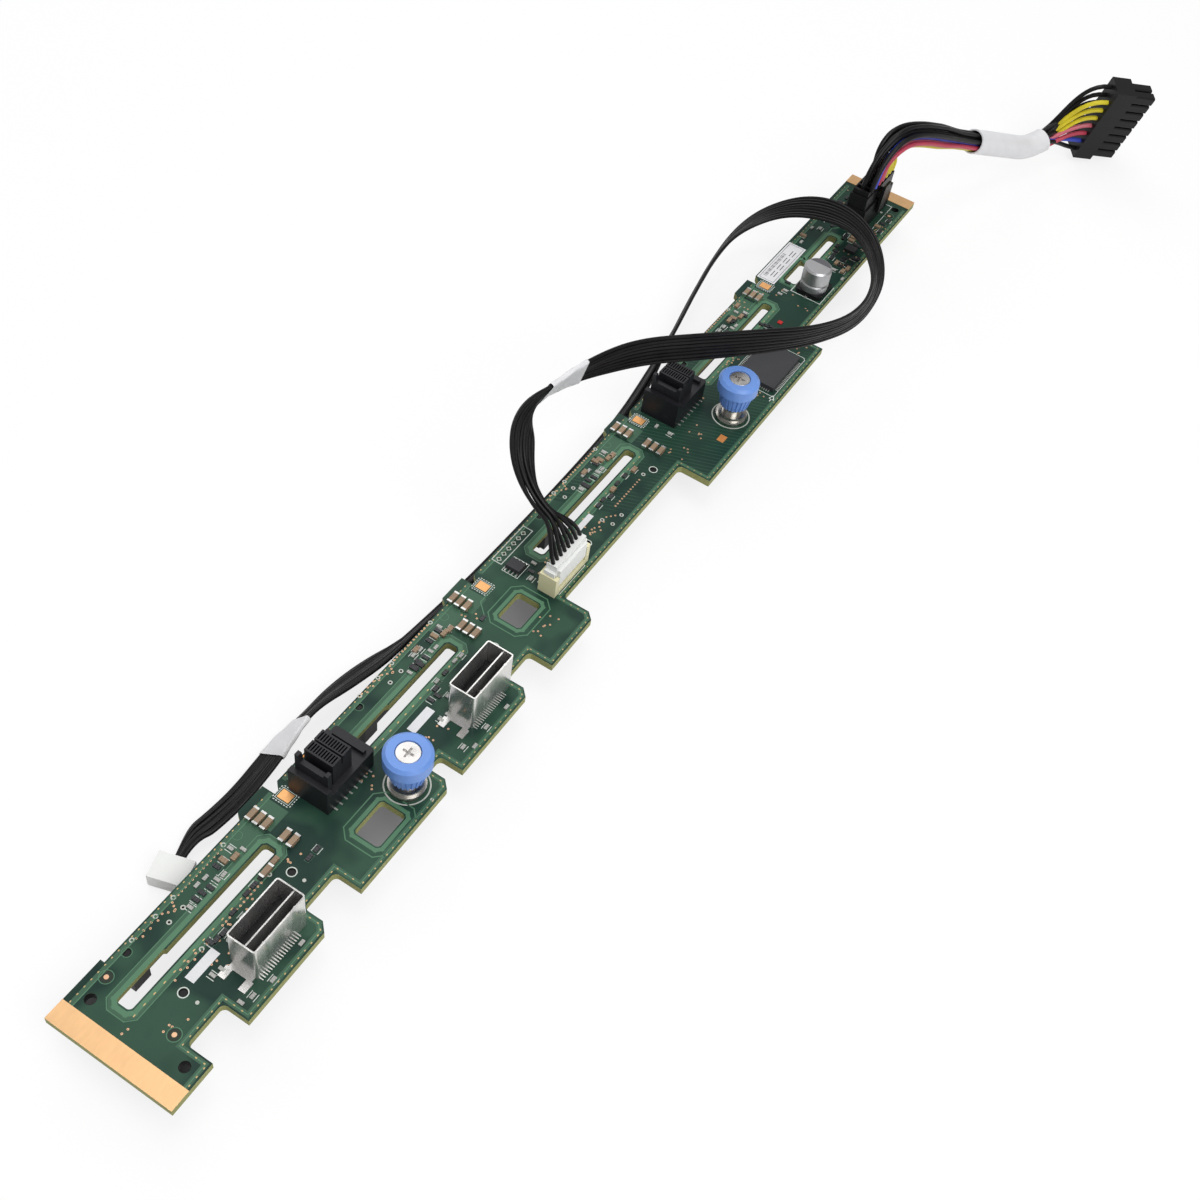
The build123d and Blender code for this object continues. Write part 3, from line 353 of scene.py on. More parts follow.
def can_aluminium():
    """Drawn aluminium: fine lines round the wall of the can."""
    finish = Finish("drawn_aluminium", base_color=(0.62, 0.62, 0.63, 1), metallic=0.85,
                    roughness=0.36)
    lines = finish.grain(500.0, 3.0, stretch=(0.15, 0.15, 3.0))
    broad = finish.grain(200.0, 2.0)
    return finish.feed(
        base_color=finish.blend(broad * 0.5 + lines * 0.5, (0.36, 0.36, 0.37),
                                (0.56, 0.56, 0.57)),
        roughness=0.28 + lines * 0.2,
        normal=finish.relief(lines, 0.00001),
    )


RECIPES = {
    "mask": solder_mask,
    "bare_gold": lambda: bare_gold("bare_gold_strip", (0.80, 0.49, 0.24)),
    "pad_gold": lambda: bare_gold("bare_gold_pad", (0.86, 0.44, 0.17)),
    "via_gold": lambda: bare_gold("via_gold", (0.74, 0.44, 0.27)),
    "dash_gold": lambda: bare_gold("edge_dash_gold", (0.56, 0.40, 0.18)),
    "light_mask": lambda: printed("light_green_pour", board_colour("mask_light"), 0.4),
    "track_mask": lambda: printed("green_track", (0.055, 0.115, 0.085), 0.38),
    "pour_mask": lambda: printed("middle_green_pour", tuple(
        (a + b) / 2 for a, b in zip(board_colour("mask"), board_colour("mask_light"))), 0.4),
    "ink": lambda: printed("white_ink", (0.62, 0.66, 0.62)),
    "light_tin": lambda: printed("pale_tinned_ring", (0.50, 0.52, 0.47), 0.35),
    "part_tin": lambda: printed("tinned_part_end", (0.84, 0.85, 0.84), 0.3, 0.5),
    "pale": lambda: plastic("pale_part_body", (0.36, 0.36, 0.34), 0.4),
    "label_paper": lambda: printed("label_paper", (0.72, 0.72, 0.74), 0.6),
    "label_print": lambda: printed("label_print", (0.09, 0.09, 0.10), 0.6),
    # black for holes and bores: painted shade where they are dark inside
    "hole": lambda: printed("hole_shadow", (0.006, 0.006, 0.006), 0.7, 0.1),
    "hole_mask": lambda: printed("dark_clearance", (0.02, 0.03, 0.02), 0.5),
    "solder": lambda: metal("solder", (0.66, 0.66, 0.65), 0.3),
    "tin": lambda: metal("tinned_metal", (0.76, 0.75, 0.72), 0.26, metallic=0.8),
    "cage": lambda: metal("cage_sheet", (0.80, 0.79, 0.77), 0.22, (1.0, 1.0, 0.12), 500.0,
                          metallic=0.88),
    "steel": lambda: metal("turned_steel", (0.56, 0.54, 0.51), 0.27, (0.2, 0.2, 3.0), 700.0),
    "cap_steel": lambda: metal("screw_steel", (0.78, 0.76, 0.74), 0.25, (1.0, 1.0, 1.0), 300.0),
    "dark_steel": lambda: metal("spring_steel", (0.40, 0.40, 0.40), 0.35),
    "contact": lambda: metal("contact_gold", (0.85, 0.62, 0.28), 0.25),
    "knob": knob_plastic,
    "black": lambda: plastic("black_moulding", (0.006, 0.006, 0.007), 0.4, gloss=0.22),
    "socket_black": lambda: plastic("socket_moulding", (0.012, 0.012, 0.015), 0.34, gloss=0.3),
    "cream": lambda: plastic("cream_moulding", (0.72, 0.68, 0.44), 0.42, spread=0.08),
    "white": lambda: plastic("white_moulding", (0.74, 0.75, 0.73), 0.36, spread=0.05),
    "wire_black": lambda: insulation("black_insulation", (0.004, 0.0035, 0.004), 0.38, 0.2),
    "wire_blue": lambda: insulation("blue_insulation", (0.035, 0.06, 0.42)),
    "wire_red": lambda: insulation("red_insulation", (0.42, 0.035, 0.07)),
    "wire_pink": lambda: insulation("pink_insulation", (0.52, 0.11, 0.15)),
    "wire_yellow": lambda: insulation("yellow_insulation", (0.60, 0.50, 0.015)),
    "film": lambda: film("white_film", (0.74, 0.74, 0.76)),
    "ceramic": fired_ceramic,
    "resistor": lambda: plastic("resistor_glaze", (0.02, 0.021, 0.024), 0.3),
    "mould": chip_mould,
    "can": can_aluminium,
    "can_mark": lambda: printed("can_marking", (0.11, 0.11, 0.12), 0.35),
    "red": lambda: printed("red_part", (0.5, 0.02, 0.02), 0.4),
    "orange": lambda: bare_gold("bare_copper_pad", (0.85, 0.33, 0.09)),
}


# ---------------------------------------------------------------- modelling helpers


def select_only(piece):
    if bpy.context.object and bpy.context.object.mode != "OBJECT":
        bpy.ops.object.mode_set(mode="OBJECT")
    bpy.ops.object.select_all(action="DESELECT")
    piece.select_set(True)
    bpy.context.view_layer.objects.active = piece


def apply_modifiers(piece):
    select_only(piece)
    for modifier in list(piece.modifiers):
        bpy.ops.object.modifier_apply(modifier=modifier.name)


def block(low, high, bevel=0.0):
    """A bevelled block between two corners, its place in its mesh."""
    bpy.ops.object.select_all(action="DESELECT")
    low, high = Vector(low), Vector(high)
    bpy.ops.mesh.primitive_cube_add(size=1.0, location=(low + high) / 2)
    piece = bpy.context.object
    piece.scale = high - low
    bpy.ops.object.transform_apply(location=True, rotation=True, scale=True)
    if bevel:
        round_over = piece.modifiers.new("edges", "BEVEL")
        round_over.width = bevel
        round_over.segments = 1
        apply_modifiers(piece)
    return piece


def disc(centre, radius, height, sides):
    bpy.ops.object.select_all(action="DESELECT")
    bpy.ops.mesh.primitive_cylinder_add(
        vertices=sides, radius=radius, depth=height,
        location=Vector(centre) + Vector((0, 0, height / 2)),
    )
    piece = bpy.context.object
    bpy.ops.object.transform_apply(location=True, rotation=True, scale=True)
    return piece


def ring(centre, inner, outer, height, sides):
    """A flat ring: a circle, drawn inwards by extrusion, then given its thickness."""
    bpy.ops.object.select_all(action="DESELECT")
    bpy.ops.mesh.primitive_circle_add(vertices=sides, radius=outer, location=centre)
    piece = bpy.context.object
    bpy.ops.object.transform_apply(location=True, rotation=True, scale=True)
    bpy.ops.object.mode_set(mode="EDIT")
    bpy.ops.mesh.select_all(action="SELECT")
    bpy.ops.mesh.extrude_edges_move()
    bpy.ops.transform.resize(
        value=(inner / outer, inner / outer, 1), center_override=Vector(centre)
    )
    bpy.ops.mesh.select_all(action="SELECT")
    bpy.ops.mesh.extrude_region_move(TRANSFORM_OT_translate={"value": (0, 0, height)})
    bpy.ops.mesh.select_all(action="SELECT")
    bpy.ops.mesh.normals_make_consistent(inside=False)
    bpy.ops.object.mode_set(mode="OBJECT")
    return piece


def join(pieces):
    bpy.ops.object.select_all(action="DESELECT")
    for piece in pieces:
        piece.select_set(True)
    bpy.context.view_layer.objects.active = pieces[0]
    if len(pieces) > 1:
        bpy.ops.object.join()
    return bpy.context.view_layer.objects.active


def copies(pattern, places, name):
    """The pattern copied to each place (point, turn in degrees, size), the copies joined."""
    made = []
    for point, turn, size in places:
        piece = pattern.copy()
        piece.data = pattern.data.copy()
        size = Vector(size) if hasattr(size, "__len__") else Vector((size, size, size))
        turned = Euler((0, 0, math.radians(turn)))
        piece.data.transform(Matrix.LocRotScale(Vector(point), turned, size))
        bpy.context.scene.collection.objects.link(piece)
        made.append(piece)
    bpy.data.objects.remove(pattern)
    piece = join(made)
    piece.name = name
    return piece


def paint(piece, *finishes):
    """Gives a new piece its finishes; each face keeps the slot it was made with."""
    for name in finishes:
        piece.data.materials.append(finish_of(name))
    return piece


def settle(piece, name, body=ROOT, smooth=True):
    """Names a finished piece, smooths what is round and puts it on its body."""
    piece.name = name
    piece.data.name = name
    if smooth:
        select_only(piece)
        bpy.ops.object.shade_smooth_by_angle(angle=math.radians(35))
    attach(piece, body)
    return piece


def dress(node, finish):
    """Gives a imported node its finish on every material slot."""
    piece = NODES[node]
    if not piece.material_slots:
        piece.data.materials.append(None)
    for slot in piece.material_slots:
        slot.material = finish_of(finish)


# how far prints stand over the board, in millimetres; one that crosses another is higher
WIDE_LAY = 0.006
EDGE_LAY = 0.012
BAND_LAY = 0.014
LINE_LAY = 0.018
INK_LAY = 0.02
DASH_LAY = 0.024
COPPER_LAY = 0.03
PAPER_LAY = 0.05


def bar(u0, v0, u1, v1, width, height=INK_LAY):
    """A printed line between two stations, as the place of a stretched tile."""
    a, b = at(u0, v0), at(u1, v1)
    turn = math.degrees(math.atan2(b.y - a.y, b.x - a.x))
    return ((a + b) / 2, turn, ((b - a).length, width * MM, height * MM))


def patch(u0, u1, v0, v1, height=INK_LAY):
    return bar(u0, (v0 + v1) / 2, u1, (v0 + v1) / 2, v1 - v0, height)


def straights(points, closed):
    """Each straight part of a run of stations, with its length."""
    ends = points[1:] + (points[:1] if closed else [])
    return [(a, b, math.dist(a, b)) for a, b in zip(points, ends)]


def outline(points, width, height=INK_LAY, closed=False):
    """Printed lines through the stations, each reaching half a width past its ends."""
    out = []
    for (u0, v0), (u1, v1), length in straights(points, closed):
        du, dv = (u1 - u0) / length * width / 2, (v1 - v0) / length * width / 2
        out.append(bar(u0 - du, v0 - dv, u1 + du, v1 + dv, width, height + 0.003 * (len(out) % 2)))
    return out


def box_line(u0, u1, v0, v1, width, cut=0.0, height=INK_LAY):
    """Outline of a box, its corners cut off."""
    points = [(u0 + cut, v0), (u1 - cut, v0), (u1, v0 + cut), (u1, v1 - cut), (u1 - cut, v1),
              (u0 + cut, v1), (u0, v1 - cut), (u0, v0 + cut)]
    if not cut:
        points = [(u0, v0), (u1, v0), (u1, v1), (u0, v1)]
    return outline(points, width, height, True)


def framed(openings, away, width, cut, height):
    """Lines round openings of the board, at a distance from their edges."""
    out = []
    for u0, u1, v0, v1 in openings:
        out += box_line(u0 - away, u1 + away, v0 - away, v1 + away, width, cut, height)
    return out


def dashes(points, dash, gap, width, height=DASH_LAY, closed=False):
    """Dashed line along a run of stations."""
    out = []
    for (u0, v0), (u1, v1), length in straights(points, closed):
        along = 0.4
        while along + dash < length - 0.2:
            a, b = along / length, (along + dash) / length
            out.append(bar(u0 + (u1 - u0) * a, v0 + (v1 - v0) * a,
                           u0 + (u1 - u0) * b, v0 + (v1 - v0) * b, width, height))
            along += dash + gap
    return out


def tile():
    """A thin square with an inset on its top face, stretched by its copies."""
    piece = block((-0.5, -0.5, 0), (0.5, 0.5, 1))
    bpy.ops.object.mode_set(mode="EDIT")
    bpy.ops.mesh.select_all(action="DESELECT")
    bpy.ops.object.mode_set(mode="OBJECT")
    for face in piece.data.polygons:
        face.select = face.normal.z > 0.5
    bpy.ops.object.mode_set(mode="EDIT")
    bpy.ops.mesh.select_mode(type="FACE")
    bpy.ops.mesh.inset(thickness=0.02, depth=0.0)
    bpy.ops.object.mode_set(mode="OBJECT")
    return piece


def prints(places, name, finish):
    """Many thin prints as one piece."""
    piece = paint(copies(tile(), places, name), finish)
    return settle(piece, name, smooth=False)


def spread_out(pattern, stations, name, finish):
    """A pattern copied to many stations, as one piece."""
    piece = paint(copies(pattern, [(at(u, v), 0, 1) for u, v in stations], name), finish)
    return settle(piece, name, smooth=False)


def rings(stations, inner, outer, name, finish, height=INK_LAY, sides=14):
    """Flat rings of one size at many stations."""
    pattern = ring((0, 0, 0), inner * MM, outer * MM, height * MM, sides)
    return spread_out(pattern, stations, name, finish)


def dots(stations, radius, name, finish, height, sides=10):
    """Round spots of one size at many stations."""
    return spread_out(disc((0, 0, 0), radius * MM, height * MM, sides), stations, name, finish)


def part_body(length, width, height, end, name):
    """One small two-ended part at the origin: a body and two plated ends."""
    half, e = length / 2 * MM, end * MM
    w, h = width / 2 * MM, height * MM
    body = block((-half + e, -w * 0.96, 0), (half - e, w * 0.96, h * 0.96), 0.05 * MM)
    ends = [block((-half, -w, 0), (-half + e, w, h), 0.06 * MM),
            block((half - e, -w, 0), (half, w, h), 0.06 * MM)]
    for piece in (body, *ends):
        piece.data.materials.append(None)
        piece.data.materials.append(None)
    for piece in ends:
        for face in piece.data.polygons:
            face.material_index = 1
    piece = join([body, *ends])
    piece.name = name
    return piece


def parts(pattern, places, name, body):
    """Small two-ended parts at their stations (u, v, turn)."""
    piece = copies(pattern, [(at(u, v), turn, 1) for u, v, turn in places], name)
    while len(piece.material_slots) < 2:
        piece.data.materials.append(None)
    for material_slot, finish in zip(piece.material_slots, (body, "part_tin")):
        material_slot.material = finish_of(finish)
    return settle(piece, name, smooth=False)


def repeated(stations, drives=COLUMNS):
    """Stations at the first drive's place repeated for each drive."""
    return [(s[0] + PITCH * k, *s[1:]) for k in range(drives) for s in stations]


# ---------------------------------------------------------------- settings


class BackplaneBoardSettings(bpy.types.PropertyGroup):
    """Colours of the board and its fittings."""

    mask: bpy.props.FloatVectorProperty(
        name="Solder mask", description="Colour of the green mask", subtype="COLOR",
        size=3, min=0, max=1, default=(0.007, 0.027, 0.021))
    mask_light: bpy.props.FloatVectorProperty(
        name="Light mask", description="Colour of the mask over bare copper pours",
        subtype="COLOR", size=3, min=0, max=1, default=(0.085, 0.200, 0.115))
    knob: bpy.props.FloatVectorProperty(
        name="Knob", description="Colour of the thumbscrew knobs", subtype="COLOR",
        size=3, min=0, max=1, default=(0.13, 0.27, 0.66))


class BackplaneCableSettings(bpy.types.PropertyGroup):
    """Sizes of the two cables."""

    ribbon_wire: bpy.props.FloatProperty(
        name="Ribbon wire", description="Diameter of one ribbon wire",
        subtype="DISTANCE", unit="LENGTH", default=1.22 * MM, min=0.5 * MM, max=3 * MM)
    ribbon_pitch: bpy.props.FloatProperty(
        name="Ribbon pitch", description="Spacing of the ribbon wires",
        subtype="DISTANCE", unit="LENGTH", default=1.17 * MM, min=0.5 * MM, max=3 * MM)
    harness_wire: bpy.props.FloatProperty(
        name="Harness wire", description="Diameter of one harness wire",
        subtype="DISTANCE", unit="LENGTH", default=1.8 * MM, min=0.5 * MM, max=4 * MM)
    sides: bpy.props.IntProperty(
        name="Wire sides", description="Facets round each wire", default=10, min=6, max=24)


class BackplaneStageSettings(bpy.types.PropertyGroup):
    """Camera and light of the stage."""

    lens: bpy.props.FloatProperty(
        name="Lens", description="Focal length of the camera in millimetres",
        default=45.3, min=10, max=200)
    softbox: bpy.props.FloatProperty(
        name="Softbox power", description="Power of the main light in watts",
        default=9.0, min=0, max=100)


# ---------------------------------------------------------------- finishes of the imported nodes

NODES_BY_FINISH = {
    "mask": ["circuit_board"],
    "bare_gold": ["end_contacts"],
    "pad_gold": ["edge_pads"],
    "black": ["drive_receptacles_upper", "drive_receptacles_lower", "cage_cores", "capacitor_base",
        "power_header", "power_plug", "big_plug", "big_plug_latch"],
    "contact": ["drive_contacts"],
    "cage": ["cage_1_shell", "cage_2_shell"],
    "tin": ["cage_legs", "socket_legs", "capacitor_leads", "controller_leads", "memory_pins",
        "header_pins"],
    "socket_black": ["socket_bases", "socket_blocks"],
    "steel": ["ferrules"],
    "knob": ["knob_1", "knob_2"],
    "cap_steel": ["screw_1", "screw_2"],
    "dark_steel": ["retainer_1", "retainer_2"],
    "can": ["capacitor_can"],
    "mould": ["controller_chip", "small_chips"],
    "ceramic": ["ceramic_bodies"],
    "solder": ["ceramic_ends"],
    "cream": ["cable_header"],
    "white": ["cable_plug", "ribbon_end_plug"],
    "film": ["harness_sleeve"],
}


class BACKPLANE_OT_node_finishes(bpy.types.Operator):
    """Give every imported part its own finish"""

    bl_idname = "backplane.node_finishes"
    bl_label = "Finish the packed parts"

    def execute(self, context):
        for finish, nodes in NODES_BY_FINISH.items():
            for node in nodes:
                dress(node, finish)
        return {"FINISHED"}


# ---------------------------------------------------------------- prints and small parts

# openings of the board as (from, to) along and (from, to) across
SLOTS = [(12, 63, 10.3, 14.2), (98.5, 141, 9.5, 13.4), (184, 237, 9.5, 13),
         (281, 329, 10, 13.2), (345.3, 359.5, 9.2, 14), (360.9, 379.5, 10.8, 14)]
WINDOWS = [(78.3, 89.8, 26, 33.8), (157, 168, 15.3, 23)]
# the rear edge with its notches, 1.1 mm inside the board
REAR = [(1.1, 36.2), (12.2, 36.2), (12.2, 28.7), (26.5, 28.7), (26.5, 36.2), (52.2, 36.2),
        (53.7, 34.8), (53.7, 28.2), (67.9, 28.2), (67.9, 36.2), (102, 36.2), (103.5, 34.8),
        (103.5, 28.9), (110.5, 28.9), (110.5, 36.2), (138.4, 36.2), (139.9, 34.8), (139.9, 28.4),
        (153.1, 28.4), (153.1, 36.2), (171.9, 36.2), (173.4, 34.8), (173.4, 25.4), (242.6, 25.4),
        (242.6, 36.2), (319.9, 36.2), (319.9, 26.2), (412, 26.2)]
# runs between the bumps of the datum edge
NEAR_RUNS = [[(1.1, 34.8), (1.1, 2.3), (74.4, 2.3)]] + [
    [(80.6 + PITCH * k, 2.3), (74.4 + PITCH * (k + 1), 2.3)] for k in range(3)
] + [[(341.6, 2.3), (412, 2.3)]]


# bores for the drives' pegs
LOWER_PEGS = repeated([(22.2, 20.8), (60.7, 20.8)], 3)
UPPER_PEGS = repeated([(22.25, 3.6), (60.75, 3.6)])
TOOL_HOLES = [(9.1, 5), (9.2, 32.9), (410.6, 23.4)]
BORE_DEPTH = 2.38
VIA_STEP = 1.27
# areas with loose vias: (from, to) along, (from, to) across, how many
VIA_AREAS = [
    (158, 167, 25, 30, 9), (150.5, 156, 7, 12, 6), (28, 38, 19.5, 27.5, 9),
    (112, 118, 22.5, 27.5, 7), (40, 52, 17.5, 20, 6), (62, 66, 17, 20, 4),
    (90.5, 95, 16, 22, 6), (199, 206, 16.5, 22, 6), (243, 250, 20, 26, 7),
    (256, 264, 20, 26, 6), (268, 277, 12, 18, 5), (322, 338, 2.5, 7.5, 9),
    (381, 396, 16, 24, 8), (366, 380, 15.5, 25, 16), (385, 410, 4, 13, 8),
    (292, 309, 14.8, 17.6, 22), (284.5, 288, 18, 34, 12), (312, 318, 20, 33, 14),
    (384, 411, 3.2, 8.5, 16), (384, 398, 22.5, 25.8, 10), (176, 184, 15, 19, 5),
    (188, 200, 15.5, 23.5, 7), (283, 292, 15.5, 21, 7), (334, 341, 10, 24, 7),
    (5, 24, 16, 27, 8),
]


def near_runs(shift):
    """The runs by the datum edge, moved across the board where they lie along it."""
    return [[(u, v + shift if v < 5 else v) for u, v in run] for run in NEAR_RUNS]


def socket_vias(shift, v, count, offset, slant):
    """Vias by one drive's place: a zigzag row, a straight row and a slanting run."""
    zigzag = [(26.1 + VIA_STEP * i + shift, v + 0.9 * (i % 2)) for i in range(6)]
    straight = [(40.2 + VIA_STEP * i + shift, v + offset) for i in range(count)]
    return zigzag + straight + [(slant + 1.1 * i + shift, v + 0.5 + 0.9 * i) for i in range(3)]


class BACKPLANE_OT_pours(bpy.types.Operator):
    """Print the lighter copper pours round slots, windows and edges"""

    bl_idname = "backplane.pours"
    bl_label = "Light pours"

    def execute(self, context):
        prints(framed(SLOTS, 1.1, 1.3, 1.4, BAND_LAY) + framed(WINDOWS, 0.9, 1.1, 1.2, BAND_LAY),
               "slot_pours", "light_mask")
        pours = []
        for k in range(COLUMNS):
            shift = PITCH * k
            pours.append(patch(54.2 + shift, 65.6 + shift, 1.6, 8.4, WIDE_LAY))
            pours.append(patch(66.3 + shift, 73.4 + shift, 2.6, 9.4, WIDE_LAY + 0.0015))
        prints(pours, "wide_pours", "pour_mask")
        edge = []
        for run in [*NEAR_RUNS, REAR]:
            edge += outline(run, 1.3, EDGE_LAY)
        prints(edge + framed(SLOTS, 2.1, 0.9, 1.9, EDGE_LAY - 0.003), "edge_pours", "pour_mask")
        lines = []
        for run in [*near_runs(0.6), REAR]:
            lines += outline(run, 0.26, LINE_LAY)
        lines += framed(SLOTS[:4], 2.7, 0.24, 2.1, LINE_LAY)
        lines += framed(WINDOWS, 2.9, 0.32, 2.6, LINE_LAY)
        lines += outline([(154, 13.4), (158.5, 8.6), (163.5, 8.6)], 0.3, LINE_LAY)
        lines += outline([(366.6, 9.6), (384, 9.6), (388, 13.4), (388, 22)], 0.3, LINE_LAY)
        prints(lines, "pour_lines", "light_mask")
        return {"FINISHED"}


class BACKPLANE_OT_vias(bpy.types.Operator):
    """Scatter the plated vias: rows along the datum edge, stitching and loose groups"""

    bl_idname = "backplane.vias"
    bl_label = "Vias"

    def execute(self, context):
        stitch = []
        for run in near_runs(-0.5):
            stitch += dashes(run, 0.5, 1.7, 0.28)
        stitch += dashes([(u, v + 0.4) for u, v in REAR], 0.5, 1.9, 0.28)
        for u0, u1, _, v1 in SLOTS:
            stitch += dashes([(u0 - 1, v1 + 1.5), (u1 + 1, v1 + 1.5)], 0.7, 2.6, 0.3)
        prints(stitch, "stitching", "dash_gold")
        rows = []
        for k in range(COLUMNS):
            v = 2.9 if k == 0 else 1.55
            shift = PITCH * k
            rows += socket_vias(shift, v, 13, 0.1, 34.3)
            rows += [(37.9 - 0.5 * i + shift, v + 0.4 + 0.9 * i) for i in range(3)]
        for k, v in ((0, 16.5), (2, 19.3)):
            rows += socket_vias(PITCH * k, v, 12, 0.3, 34.6)
        chance = random.Random(11)
        loose = []
        for u0, u1, v0, v1, count in VIA_AREAS:
            loose += [(chance.uniform(u0, u1), chance.uniform(v0, v1)) for _ in range(count)]
        dots(rows + loose, 0.31, "vias", "via_gold", INK_LAY, 8)
        # black dots in the middle of the vias: painted shade in their holes
        dots(rows + loose, 0.12, "via_holes", "hole", DASH_LAY, 6)
        lock = []
        for k in range(COLUMNS):
            v = 2.6 if k == 0 else 1.75
            shift = PITCH * k
            lock += [(25.2 + shift, v - 0.2), (32.9 + shift, v), (39.0 + shift, v),
                     (56.8 + shift, v), (33.6 + shift, v + 3.6), (38.4 + shift, v + 3.6)]
        for k, v in ((0, 16.9), (2, 19.4)):
            lock += [(32.8 + PITCH * k, v), (57 + PITCH * k, v), (33.4 + PITCH * k, v + 3.4),
                     (38.2 + PITCH * k, v + 3.6)]
        rings(lock, 0.34, 0.68, "lock_rings", "light_tin")
        # black dots in the lock holes: painted shade
        dots(lock, 0.34, "lock_holes", "hole", 0.008)
        # black liners on the walls of the peg and tooling bores: painted shade inside the bores
        for stations, radius, name in ((LOWER_PEGS + UPPER_PEGS, 1.05, "peg_bores"),
                                       (TOOL_HOLES, 1.45, "tool_bores")):
            pattern = ring((0, 0, 0), (radius - 0.05) * MM, (radius - 0.005) * MM,
                           BORE_DEPTH * MM, 24)
            places = [(at(u, v, -BORE_DEPTH - 0.01), 0, 1) for u, v in stations]
            settle(paint(copies(pattern, places, name), "hole"), name)
        return {"FINISHED"}


class BACKPLANE_OT_ink(bpy.types.Operator):
    """Print the white outlines, the bare label and the bare code strips"""

    bl_idname = "backplane.ink"
    bl_label = "White prints"

    def execute(self, context):
        lines = []
        for k in range(COLUMNS):
            u = 76.5 + PITCH * k
            lines += dashes([(u - 2.3, 3.2), (u + 2.3, 3.2), (u + 2.3, 8.7), (u - 2.3, 8.7)],
                            0.5, 0.35, 0.28, INK_LAY, True)
            lines += box_line(u - 1.75, u + 1.75, 3.7, 8.1, 0.16)
        lines += outline([(352, 14.2), (341.5, 14.2), (341.5, 25.8), (353, 25.8)], 0.3)
        lines += box_line(173.6, 190.0, 2.0, 5.3, 0.25)
        lines += outline([(287.2, 34.2), (289, 35.1), (287.2, 36)], 0.3, closed=True)
        lines += outline([(286, 35.1), (287.2, 35.1)], 0.3)
        lines += box_line(288.5, 312.5, 18.6, 35.2, 0.2, 0.8)
        lines += outline([(172, 6.6), (172, 12), (178.4, 12), (178.4, 6.6)], 0.18, closed=True)
        lines += box_line(389.5, 411.5, 9.2, 21.6, 0.22)
        lines += box_line(174.6, 188.4, 17.4, 25.0, 0.22)
        prints(lines, "white_outlines", "ink")
        fiducials = [(15.1, 4.1), (13.5, 26), (405.6, 23.2)]
        rings(fiducials, 1.65, 1.85, "fiducial_rings", "light_mask", sides=24)
        rings(fiducials, 0.7, 1.5, "fiducial_windows", "hole_mask", EDGE_LAY, 24)
        dots(fiducials, 0.62, "fiducials", "via_gold", INK_LAY, 16)
        rings(LOWER_PEGS, 1.15, 1.42, "peg_rings", "ink", sides=24)
        rings(UPPER_PEGS, 1.2, 1.34, "upper_peg_rings", "light_mask", sides=24)
        rings([(97.4, 28.4), (271.8, 28.2)], 5.9, 6.3, "thumbscrew_rings", "light_tin",
              LINE_LAY, 40)
        dots([(22.2, 25), (60.7, 24.7), (405.6, 19.9), (97.6, 36.2)], 0.5, "test_spots",
             "light_tin", INK_LAY, 12)
        papers = [patch(25.2, 34.4, 18.5, 21.2, COPPER_LAY),
                  patch(111.2, 120.2, 17.9, 20.6, COPPER_LAY),
                  patch(198.5, 206.5, 14.8, 16.6, COPPER_LAY),
                  patch(340.4, 365.8, 0.9, 7.9, PAPER_LAY)]
        prints(papers, "bare_labels", "label_paper")
        marks = box_line(341.1, 365.1, 1.6, 7.2, 0.16, height=PAPER_LAY + 0.006)
        marks += [bar(343 + 0.8 * i, 2.2, 343 + 0.8 * i, 3.5, 0.22 + 0.12 * (i % 3),
                      PAPER_LAY + 0.007) for i in range(20)]
        marks += [bar(344 + 4.8 * i, v, 347.4 + 4.8 * i, v, 0.3, PAPER_LAY + 0.007)
                  for v in (4.6, 5.8) for i in range(4)]
        prints(marks, "label_bars", "label_print")
        test_pads = [(174.9 + 2.54 * i, 3.6) for i in range(6)]
        rings(test_pads, 0.55, 0.95, "test_pads", "light_tin", 0.022, 4)
        copper = [patch(259, 262.2, 30, 32.4, COPPER_LAY), patch(86.0, 90.2, 1.6, 2.0)]
        copper += [patch(u - 0.9, u + 0.9, 11.4, 12.3) for u in (146.6, 149.2)]
        prints(copper, "bare_copper", "orange")
        return {"FINISHED"}


